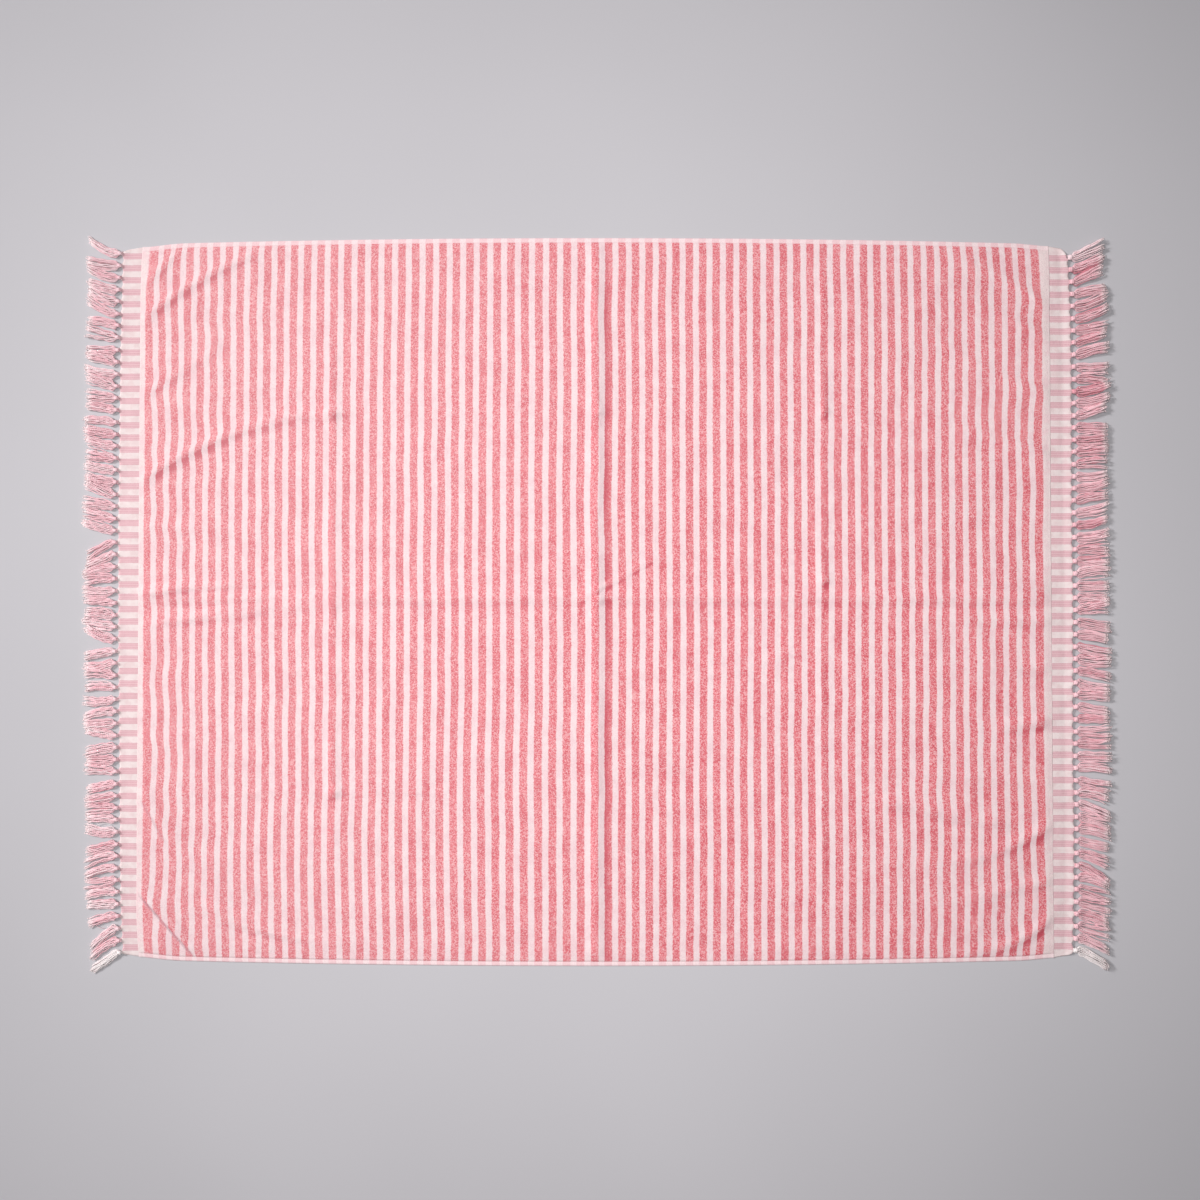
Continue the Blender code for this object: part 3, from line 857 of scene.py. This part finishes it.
def wovenPlace(side, b, v):
    # b runs from 0 under the terry to 1 at the fringed edge
    sign = outwards[side]
    innerX, innerY = layOut(np.full_like(v, stripes["field"][side]), v)
    innerX = innerX - sign * (blanket["lap"] - 0.0008)
    outerY = v / blanket["halfWidth"] * halfWidthAt(blanket["shiftX"] + sign * blanket["length"] / 2)
    outerX = endX(side, outerY) + sign * (0.0006 - scallopAt(tasselIndex(side, outerY)))
    x, y = innerX + (outerX - innerX) * b, innerY + (outerY - innerY) * b
    rounding = wovenEnds["rounding"]
    for end, half, drop in cornerRounds:
        if end == side:
            fromEdge = (1.0 - b) * wovenEnds["width"]
            outward = np.clip(1.0 - fromEdge / wovenEnds["roundWidth"], 0.0, 1.0)
            nearCorner = smooth((half * v - blanket["halfWidth"] + rounding) / rounding)
            y = y - half * drop * outward ** 2.4 * nearCorner
    return x, y


def buildWoven(side):
    columns, rows = 15, 620
    b = np.linspace(0.0, 1.0, columns + 1)
    v = np.linspace(-blanket["halfWidth"], blanket["halfWidth"], rows + 1)
    if side == "left":
        b = b[::-1]
    gridB, gridV = np.meshgrid(b, v, indexing="ij")
    x, y = wovenPlace(side, gridB, gridV)
    inward = (1.0 - gridB) * wovenEnds["width"]
    fromSeam = gridB * wovenEnds["width"]
    toSide = blanket["halfWidth"] - np.abs(gridV)
    near = smooth((0.020 - inward) / 0.020)    # the last 20 mm, held up by the knots
    base = relief(x, y) + blanket["endRise"][side] * near
    # flush with the terry's edge, and tucked down under it
    base = base + 0.00015 * smooth((0.012 - fromSeam) / 0.009) - 0.00045 * (fromSeam < 0.001)
    base = np.maximum(base, 0.0)
    thick = blanket["woven"] * (0.6 + 0.4 * smooth(toSide / 0.002))
    thick *= 0.7 + 0.3 * smooth(inward / 0.002)
    thick += 0.0004 * ridge(toSide - 0.003, 0.003) * smooth(inward / 0.006)    # its turned side
    gather = 0.0005 * near * np.cos(2 * np.pi * tasselIndex(side, y))    # puckers at the knots
    uneven = gather + 0.00012 * softNoise(x, y, 0.012, 0.009, 51)
    lapped = smooth((0.006 - fromSeam) / 0.003)
    top = base + thick + uneven * (1 - lapped)
    top = np.where(fromSeam < 0.006, np.minimum(top, base + blanket["woven"]), top)
    points = np.concatenate([np.stack([x, y, z], axis=-1).reshape(-1, 3) for z in (top, base)])
    points += (placeX, placeY, 0.0)
    count = len(points) // 2
    faces = quads(columns, rows, 0, False) + quads(columns, rows, count, True)
    upper, lower = rimOf(columns, rows, 0), rimOf(columns, rows, count)
    for q in range(len(upper)):
        after = (q + 1) % len(upper)
        faces.append((lower[q], lower[after], upper[after], upper[q]))
    piece = newPiece("woven_end_" + side, points, faces, wovenMaterial(side))
    pairs = np.stack([pinkIndex(side, y), inward], axis=-1).reshape(-1, 2)
    addUv(piece.data, "bandMap", np.concatenate([pairs, pairs]))
    return piece


# fringe

fringes = {
    "left": {
        "count": 59,
        "top": 0.7294,            # y of the first tassel
        "bottom": -0.7325,        # and of the last one
        "reach": 0.063,           # from the knot to the tips
        "spread": 0.0094,         # half width of a tassel
        "crinkle": 0.0010,        # size of the yarns' waves
        "waves": (1.6, 3.4),      # how many waves a yarn has
        "lift": 0.0008,           # height of the tips
        "tones": (0.40, 0.58),    # 0 is the deepest pink and 1 white
        "knotSize": 0.78,
    },
    "right": {
        "count": 58,
        "top": 0.7204,
        "bottom": -0.7282,
        "reach": 0.067,
        "spread": 0.0101,
        "crinkle": 0.0009,
        "waves": (1.0, 2.6),
        "lift": 0.0042,
        "tones": (0.26, 0.44),
        "knotSize": 1.0,
    },
}

# how far each tassel's tip leans towards the top, in millimetres, from the top corner down
leans = {
    "left": (
        27, 8, 21, 15, 21, 27, 11, 12, -2, 14, 10, 18, 6, 10, 6, 10, 13, 8, 9, 9,
        25, 8, 12, 17, -27, -24, -12, -3, 0, 4, 3, 5, 21, -10, -10, 9, 0, -3, -10, -3,
        11, -11, -3, 6, -11, -10, -3, 3, 6, -14, -16, -14, -8, -7, -3, -14, -37, -32, -35,
    ),
    "right": (
        27, 22, 25, 10, 21, 22, 9, 16, 17, 0, 1, 14, 12, 19, -2, 4, 4, 3, 4, 14,
        10, 13, 12, 9, 4, 5, 10, 2, 0, 9, -13, -10, -13, -5, -13, -12, -1, -10, 0, 0,
        -1, -1, -4, -13, -13, -22, -15, -11, -12, -19, -34, -14, -16, -12, -19, -14, -25, -29,
    ),
}

# tassels that aren't the usual pink: end, tassel from the top, tone
oddTassels = (("left", 59, 0.97), ("right", 58, 0.97), ("right", 1, 0.70), ("right", 12, 0.12))

yarn = {
    "layers": ((7, 1.00), (5, 0.74), (3, 0.42)),    # yarns in each layer, and its share of the width
    "radius": 0.00134,
    "layerStep": 1.60,        # height from one layer to the next, in radii
    "knotOut": 0.0042,        # middle of the knot from the cloth's edge
    "knotHeight": 0.0058,
    "knotStep": 0.0014,       # height from one layer to the next inside the knot
    "bundle": 0.0024,         # half width of the yarns inside the knot
    "opening": 0.0062,        # the tassel is full this far past the knot
    "rooting": 0.17,          # half width of the yarns at the cloth's edge, in tassel spacings
    "forked": 0.30,           # share of the tassels that part in two
    "fork": 0.0026,           # half the gap between the two
    "sway": 0.0038,           # how far a tassel bends to either side
    "sides": 4,
    "freeRings": 18,
}

# how much chance there is in a tassel: lowest and highest
chance = {
    "knotOut": (-0.6, 0.6),       # millimetres along x
    "knotSide": (-0.8, 0.8),      # millimetres along y
    "reach": (-0.06, 0.05),       # as a share
    "spread": (0.86, 1.10),       # times the half width of the tassel,
    "tipSpread": (0.85, 1.15),    # and times that of its tips
    "parting": (-0.4, 0.4),       # where a forked tassel parts, -1 to 1
    "yarnLength": (-0.06, 0.04),  # as a share
    "yarnThick": (0.88, 1.08),    # times the yarn's radius
    "crinkle": (0.35, 1.0),       # times the size of its waves
}

# the yarn wound round each bundle
knot = {
    "across": 0.0039,
    "tall": 0.0030,
    "turns": 2.6,
    "length": 0.0064,
    "thick": 0.0023,
    "rings": 26,
}

# soft fibres out of each cut end
fraying = {
    "each": 2,
    "thick": (0.00115, 0.00098, 0.00055),    # from the yarn to the fibre's tip
    "length": (0.0018, 0.0050),
    "splay": 0.24,
    "splayUp": 0.10,
}

fringeLook = {
    "dark": tint(226, 150, 163),
    "middle": tint(249, 206, 213),
    "pale": tint(253, 230, 233),
    "white": tint(252, 246, 245),
    "frayed": tint(254, 238, 238),
    "twist": 0.0042,          # length of one turn of the ply
    "uneven": 0.40,           # how much the pink varies along a yarn
    "roughness": 0.90,
    "sheen": 0.25,
    "sheenRoughness": 0.5,
    "sheenTint": tint(255, 235, 235),
    "bump": 0.6,
    "bumpDepth": 0.00030,
}


def yarnMaterial():
    look = fringeLook
    material, shader = clothMaterial("fringeYarn", look)
    make = nodeMaker(material)
    calc, ramp, blend, noise = sums(make)
    split = make("SeparateXYZ", (make("UVMap", uv_map="yarnMap"),)).node
    place = make("TexCoord", out=3)
    tone = make("Attribute", out=2, attribute_name="tone")
    tip = make("Attribute", out=2, attribute_name="tip")
    turn = calc("ADD", calc("MULTIPLY", split.outputs[1], 1.0 / look["twist"]), split.outputs[0])
    ply = calc("SINE", calc("MULTIPLY", turn, 2 * math.pi))
    uneven = calc("MULTIPLY", calc("SUBTRACT", noise(place, 130.0), 0.5), look["uneven"])
    toned = calc("ADD", tone, uneven)
    colour = blend(ramp(toned, 0.0, 0.40), look["dark"], look["middle"])
    colour = blend(ramp(toned, 0.40, 0.75), colour, look["pale"])
    colour = blend(ramp(toned, 0.80, 0.95), colour, look["white"])
    # painted shade in the grooves of the ply
    colour = blend(ramp(ply, 0.2, 1.0, 0.0, 0.22), colour, look["dark"])
    colour = blend(ramp(tip, 0.80, 1.0, 0.0, 0.70), colour, look["frayed"])
    height = calc("MULTIPLY", ply, -1.0)
    finish(material, shader, colour, height, look["bumpDepth"], look["bump"])
    return material


def tubes(paths, radii, sides):
    # round tubes along many paths at once: paths has tube, ring and x y z
    count, rings, _ = paths.shape
    along = np.gradient(paths, axis=1)
    along /= np.linalg.norm(along, axis=-1, keepdims=True)
    up = np.zeros_like(along)
    up[..., 2] = 1.0
    across = np.cross(along, up)
    across /= np.maximum(np.linalg.norm(across, axis=-1, keepdims=True), 1e-6)
    normal = np.cross(across, along)
    angle = 2 * np.pi * np.arange(sides) / sides
    ring = (
        across[:, :, None, :] * np.cos(angle)[None, None, :, None]
        + normal[:, :, None, :] * np.sin(angle)[None, None, :, None]
    )
    points = paths[:, :, None, :] + ring * radii[:, :, None, None]
    index = np.arange(count * rings * sides).reshape(count, rings, sides)
    after = np.roll(index, -1, axis=2)
    body = np.stack([index[:, :-1], index[:, 1:], after[:, 1:], after[:, :-1]], axis=-1).reshape(-1, 4)
    caps = np.concatenate([index[:, 0, :], index[:, -1, ::-1]])
    steps = np.linalg.norm(np.diff(paths, axis=1), axis=-1)
    length = np.concatenate([np.zeros((count, 1)), np.cumsum(steps, axis=1)], axis=1)
    u = np.broadcast_to(np.arange(sides) / sides, (count, rings, sides))
    lengths = np.broadcast_to(length[:, :, None], (count, rings, sides))
    uv = np.stack([u, lengths], axis=-1).reshape(-1, 2)
    return points.reshape(-1, 3), body.tolist() + caps.tolist(), uv


def addTubes(parts, paths, radii, sides, tone, tip):
    # tubes join the lists that become one fringe's mesh
    points, faces, uv = tubes(paths, radii, sides)
    start = sum(len(some) for some in parts["points"])
    parts["faces"] += [tuple(i + start for i in face) for face in faces]
    parts["points"].append(points)
    parts["uv"].append(uv)
    count, rings = paths.shape[:2]
    tones = np.broadcast_to(np.reshape(tone, (-1, 1, 1)), (count, rings, sides))
    tips = np.broadcast_to(np.broadcast_to(tip, (count, rings))[:, :, None], (count, rings, sides))
    parts["tone"].append(tones.reshape(-1))
    parts["tip"].append(tips.reshape(-1))


def tasselYarns(side, index, draw):
    # the yarns of one tassel, from the cloth's edge through the knot to the tips
    sign = outwards[side]
    fringe = fringes[side]
    rootY = tasselY(side, index)
    edge = float(endX(side, np.array(rootY)))
    knotX = edge + sign * (yarn["knotOut"] + draw.uniform(*chance["knotOut"]) * mm)
    knotY = rootY + draw.uniform(*chance["knotSide"]) * mm
    lean = leans[side][index] * mm
    reach = fringe["reach"] * (1 + draw.uniform(*chance["reach"]))
    reach = math.sqrt(max(reach ** 2 - 0.6 * lean ** 2, 0.04 ** 2))    # less where it leans
    layer = np.concatenate([np.full(number, level) for level, (number, _) in enumerate(yarn["layers"])])
    rank = np.concatenate([np.linspace(-share, share, number) for number, share in yarn["layers"]])
    count = len(rank)
    tipRank = rank * draw.uniform(*chance["tipSpread"]) + draw.normal(0, 0.15, count)
    spread = fringe["spread"] * draw.uniform(*chance["spread"])
    fork = yarn["fork"] if draw.random() < yarn["forked"] else 0.0
    gap = np.where(tipRank > draw.uniform(*chance["parting"]), fork, -fork)
    sway = draw.uniform(-yarn["sway"], yarn["sway"])
    lengths = 1 + draw.uniform(*chance["yarnLength"], count)

    t = np.linspace(0, 1, yarn["freeRings"] + 1)[1:] ** 1.15    # closer rings near the knot
    middleY = knotY + lean * t ** 1.25 + sway * np.sin(np.pi * t)
    opened = 1 - (1 - np.clip(t * reach / yarn["opening"], 0, 1)) ** 2    # from bundle to full width
    half = yarn["bundle"] + (spread - yarn["bundle"]) * opened
    phase = draw.uniform(0, 2 * np.pi, (count, 1))
    turns = 2 * np.pi * draw.uniform(*fringe["waves"], (count, 1))
    size = draw.uniform(*chance["crinkle"], (count, 1)) * fringe["crinkle"]
    wave = size * np.sin(turns * t[None, :] + phase)
    x = knotX + sign * (0.004 + (reach - 0.004) * t[None, :] * lengths[:, None])
    mixed = rank[:, None] * (1 - t[None, :]) + tipRank[:, None] * t[None, :]
    y = middleY[None, :] + mixed * half[None, :] + wave * opened + gap[:, None] * t[None, :] ** 1.5
    radius = yarn["radius"]
    rise = (fringe["lift"] + 0.0010 * (index % 2)) * smooth(t / 0.8)    # neighbours lie over each other
    stack = radius * (1.02 + yarn["layerStep"] * layer)
    ripple = 0.30 * mm * (1 + np.sin(0.8 * turns * t[None, :] + 2 * phase))
    knotZ = yarn["knotHeight"] + (layer - 1.0) * yarn["knotStep"]
    drop = smooth(t / 0.30)    # down from the knot to the floor
    z = knotZ[:, None] * (1 - drop) + (stack[:, None] + ripple) * drop + rise[None, :]

    startX, startY, startZ = gatheredYarns(side, rootY, edge, knotY, rank, layer)
    paths = np.stack([
        np.concatenate([startX, x], axis=1),
        np.concatenate([startY, y], axis=1),
        np.concatenate([startZ, z], axis=1),
    ], axis=-1)
    gathered = (0.55, 0.62, 0.78, 0.85)    # thinner where the knot holds the yarns
    widths = np.concatenate([gathered, 0.92 + 0.14 * smooth(t / 0.4)])
    radii = radius * widths[None, :] * draw.uniform(*chance["yarnThick"], (count, 1))
    return paths, radii, knotX, knotY


def gatheredYarns(side, rootY, edge, knotY, rank, layer):
    # the first four rings of each yarn: out of the cloth's edge and into the knot
    fringe = fringes[side]
    count = len(rank)
    pitch = abs(fringe["top"] - fringe["bottom"]) / (fringe["count"] - 1)
    out, bundle = yarn["knotOut"], yarn["bundle"]
    rise, knotZ = blanket["endRise"][side], yarn["knotHeight"]
    gatherX = (0.0, 0.0009, out - 0.0022, out + 0.0016)
    gatherZ = (rise + 0.0009, rise + 0.0014, knotZ - 0.0004, knotZ)
    order = np.argsort(np.argsort(rank + layer * 0.01))
    flatRank = np.linspace(-1, 1, count)[order]
    sideways = np.stack([
        flatRank * (yarn["rooting"] * pitch),
        flatRank * (0.14 * pitch),
        rank * (bundle * 1.15),
        rank * bundle,
    ], axis=1)
    startY = rootY + (knotY - rootY) * np.linspace(0, 1, 4)[None, :] + sideways
    startX = np.repeat((edge + outwards[side] * np.array(gatherX))[None, :], count, axis=0)
    startX[:, 0] -= outwards[side] * (scallopAt(yarn["rooting"] * flatRank) + 0.0006)
    steps = np.array([0.0, 0.0004, yarn["knotStep"], yarn["knotStep"]])
    startZ = np.array(gatherZ)[None, :] + (layer[:, None] - 1.0) * steps
    return startX, startY, startZ


def knotCoil(side, x, y, draw):
    # a yarn wound round the bundle
    scale = fringes[side]["knotSize"]
    w = np.linspace(0, 1, knot["rings"])
    angle = draw.uniform(0, 2 * np.pi) + 2 * np.pi * knot["turns"] * w
    bulge = 0.72 + 0.28 * np.sin(np.pi * w)    # widest in the middle
    path = np.stack([
        x + outwards[side] * (w - 0.5) * knot["length"] * scale,
        y + knot["across"] * scale * bulge * np.cos(angle),
        yarn["knotHeight"] + knot["tall"] * scale * bulge * np.sin(angle),
    ], axis=-1)
    ends = 0.45 + 0.55 * smooth(w / 0.10) * smooth((1 - w) / 0.10)    # tucked in at both ends
    return path[None], (knot["thick"] * scale * ends)[None]


def frayedTips(paths, tones, draw):
    each, thick = fraying["each"], np.array(fraying["thick"])
    ends = np.repeat(paths[:, -1], each, axis=0)
    heading = np.repeat(paths[:, -1] - paths[:, -3], each, axis=0)
    heading /= np.linalg.norm(heading, axis=-1, keepdims=True)
    heading[:, 1] += draw.normal(0, fraying["splay"], len(heading))
    heading[:, 2] += draw.normal(0, fraying["splayUp"], len(heading))
    length = draw.uniform(*fraying["length"], (len(heading), 1))
    w = np.linspace(0, 1, len(thick))
    fibres = ends[:, None, :] + heading[:, None, :] * length[:, None, :] * w[None, :, None]
    fibres[:, :, 2] = np.maximum(fibres[:, :, 2], thick[None, :])
    return fibres, np.broadcast_to(thick, (len(heading), len(thick))), np.repeat(tones, each)


# loose threads: end, tone, thickness, then points as out from the cloth's edge and y, in millimetres
strayThreads = (
    ("left", 0.35, 0.35, ((50, 610), (45, 616), (36, 614), (29, 606), (26, 598))),
    ("left", 0.10, 0.35, ((14, 578), (10, 572), (8, 560), (9, 550))),
    ("left", 0.97, 0.55, ((14, -468), (30, -462), (46, -466), (52, -478), (44, -486))),
    ("left", 0.40, 0.40, ((60, -664), (52, -676), (44, -682), (34, -684))),
    ("right", 0.97, 0.60, ((12, 369), (26, 376), (44, 374), (62, 366))),
    ("right", 0.97, 0.60, ((9, -604), (19, -600), (33, -606), (47, -613), (64, -619), (72, -619))),
)


def strayPath(side, points):
    rings = 16
    corners = np.array([
        (endX(side, np.array(y * mm)) + outwards[side] * out * mm, y * mm)
        for out, y in points
    ])
    at = np.linspace(0, len(points) - 1, rings)
    path = np.stack([np.interp(at, np.arange(len(points)), corners[:, k]) for k in (0, 1)], axis=-1)
    for _ in range(2):    # rounds the corners
        path[1:-1] = (path[:-2] + 2 * path[1:-1] + path[2:]) / 4
    z = 0.0008 + 0.0030 * np.sin(np.pi * np.linspace(0, 1, rings))
    return np.column_stack([path, z])[None]


def buildFringe(side, material):
    draw = np.random.default_rng(101 if side == "left" else 202)
    parts = {"points": [], "faces": [], "uv": [], "tone": [], "tip": []}
    odd = {tassel - 1: tone for end, tassel, tone in oddTassels if end == side}
    move = np.array([placeX, placeY, 0.0])
    ringTip = np.concatenate([np.zeros(4), np.linspace(0, 1, yarn["freeRings"] + 1)[1:]])
    for index in range(fringes[side]["count"]):
        paths, radii, knotX, knotY = tasselYarns(side, index, draw)
        own = odd.get(index, draw.uniform(*fringes[side]["tones"]))
        varied = 0.03 if index in odd else 0.11    # how much the yarns' tones differ
        tones = own + draw.normal(0, varied, len(paths))
        addTubes(parts, paths + move, radii, yarn["sides"], tones, ringTip[None, :])
        fibres, thick, fibreTones = frayedTips(paths, tones, draw)
        addTubes(parts, fibres + move, thick, 3, fibreTones, 1.0)
        coil, thickness = knotCoil(side, knotX, knotY, draw)
        addTubes(parts, coil + move, thickness, 5, np.array([own]), 0.0)
    for end, tone, thick, points in strayThreads:
        if end == side:
            path = strayPath(side, points) + move
            addTubes(parts, path, np.full(path.shape[:2], thick * mm), 5, np.array([tone]), 0.0)
    points = np.concatenate(parts["points"])
    piece = newPiece("fringe_yarns_" + side, points, parts["faces"], material)
    addUv(piece.data, "yarnMap", np.concatenate(parts["uv"]))
    for name in ("tone", "tip"):
        addNumber(piece.data, name, np.concatenate(parts[name]))
    return piece


# make the blanket

terry = buildTerry()
print("terry sheet:", len(terry.data.polygons), "faces")
ends = {side: buildWoven(side) for side in ("left", "right")}
print("woven ends:", len(ends["left"].data.polygons), "faces each")
yarnFinish = yarnMaterial()
tassels = {side: buildFringe(side, yarnFinish) for side in ("left", "right")}
print("fringes:", len(tassels["left"].data.polygons), len(tassels["right"].data.polygons), "faces")

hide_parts("cloth")
for side in ("left", "right"):
    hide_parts("fringe_" + side)


# floor, light and camera

studio = {
    "floor": tint(197, 194, 198),
    "floorSize": 24.0,
    "floorDrop": 0.0002,      # keeps the paper clear of the cloth's underside
    "keyPlace": (-10.0, 4.2, 7.0),
    "keyAim": (0.0, 0.0, 0.0),
    "keyPower": 1330.0,
    "keySize": 2.4,
    "poolPlace": (-0.09, 0.00, 3.40),    # a broad soft light from above
    "poolPower": 309.0,
    "poolRadius": 1.0,
    "poolCone": 73.0,         # degrees
    "poolBlend": 0.73,
    "around": 0.11,           # strength of the even light from all round
    "aroundTint": (0.98, 0.97, 1.0, 1.0),
    "cameraPlace": (0.0042, 0.0099),
    "viewWidth": 2.515,       # metres of floor across the picture
    "lens": 35.0,
    "sensor": 36.0,
}


def makeFloor():
    bpy.ops.mesh.primitive_plane_add(size=studio["floorSize"], location=(0.0, 0.0, 0.0))
    floor = bpy.context.object
    floor.name = "studio_floor"
    for point in floor.data.vertices:
        point.co.z = -studio["floorDrop"]
    material = bpy.data.materials.new("paperFloor")
    material.use_nodes = True
    shader = material.node_tree.nodes["Principled BSDF"]
    shader.inputs["Roughness"].default_value = 0.85
    shader.inputs["Specular IOR Level"].default_value = 0.15
    make = nodeMaker(material)
    calc, ramp, blend, noise = sums(make)
    place = make("TexCoord", out=3)
    base = studio["floor"]
    darker = tuple(channel * 0.965 for channel in base[:3]) + (1.0,)
    colour = blend(ramp(noise(place, 0.9), 0.35, 0.65), darker, base)
    finish(material, shader, colour, noise(place, 900.0, 1.0), 0.0001, 0.15)
    floor.data.materials.append(material)


def areaLight(name, place, target, power, size):
    bpy.ops.object.light_add(type="AREA", location=place)
    lamp = bpy.context.object
    lamp.name = name
    lamp.data.shape = "SQUARE"
    lamp.data.size = size
    lamp.data.energy = power
    lamp.visible_camera = False
    aim = [b - a for a, b in zip(place, target)]
    lamp.rotation_euler = Vector(aim).to_track_quat("-Z", "Y").to_euler()


def spotLight(name, place, power, radius, cone, blend):
    # shines straight down
    bpy.ops.object.light_add(type="SPOT", location=place, rotation=(0.0, 0.0, 0.0))
    lamp = bpy.context.object
    lamp.name = name
    lamp.data.energy = power
    lamp.data.shadow_soft_size = radius
    lamp.data.spot_size = math.radians(cone)
    lamp.data.spot_blend = blend
    lamp.visible_camera = False


def makeCamera():
    height = studio["viewWidth"] * studio["lens"] / studio["sensor"]
    x, y = studio["cameraPlace"]
    bpy.ops.object.camera_add(location=(x, y, height), rotation=(0.0, 0.0, 0.0))
    camera = bpy.context.object
    camera.data.lens = studio["lens"]
    camera.data.sensor_width = studio["sensor"]
    camera.data.clip_start = 0.05
    camera.data.clip_end = 60.0
    bpy.context.scene.camera = camera


makeFloor()
areaLight("key_light", studio["keyPlace"], studio["keyAim"], studio["keyPower"], studio["keySize"])
spotLight(
    "pool_light", studio["poolPlace"], studio["poolPower"],
    studio["poolRadius"], studio["poolCone"], studio["poolBlend"],
)
makeCamera()
scene = bpy.context.scene
if scene.world is None:
    scene.world = bpy.data.worlds.new("studioWorld")
scene.world.use_nodes = True
around = scene.world.node_tree.nodes["Background"]
around.inputs["Color"].default_value = studio["aroundTint"]
around.inputs["Strength"].default_value = studio["around"]
scene.view_settings.view_transform = "Standard"
scene.view_settings.look = "None"
print("floor, lights and camera ready")
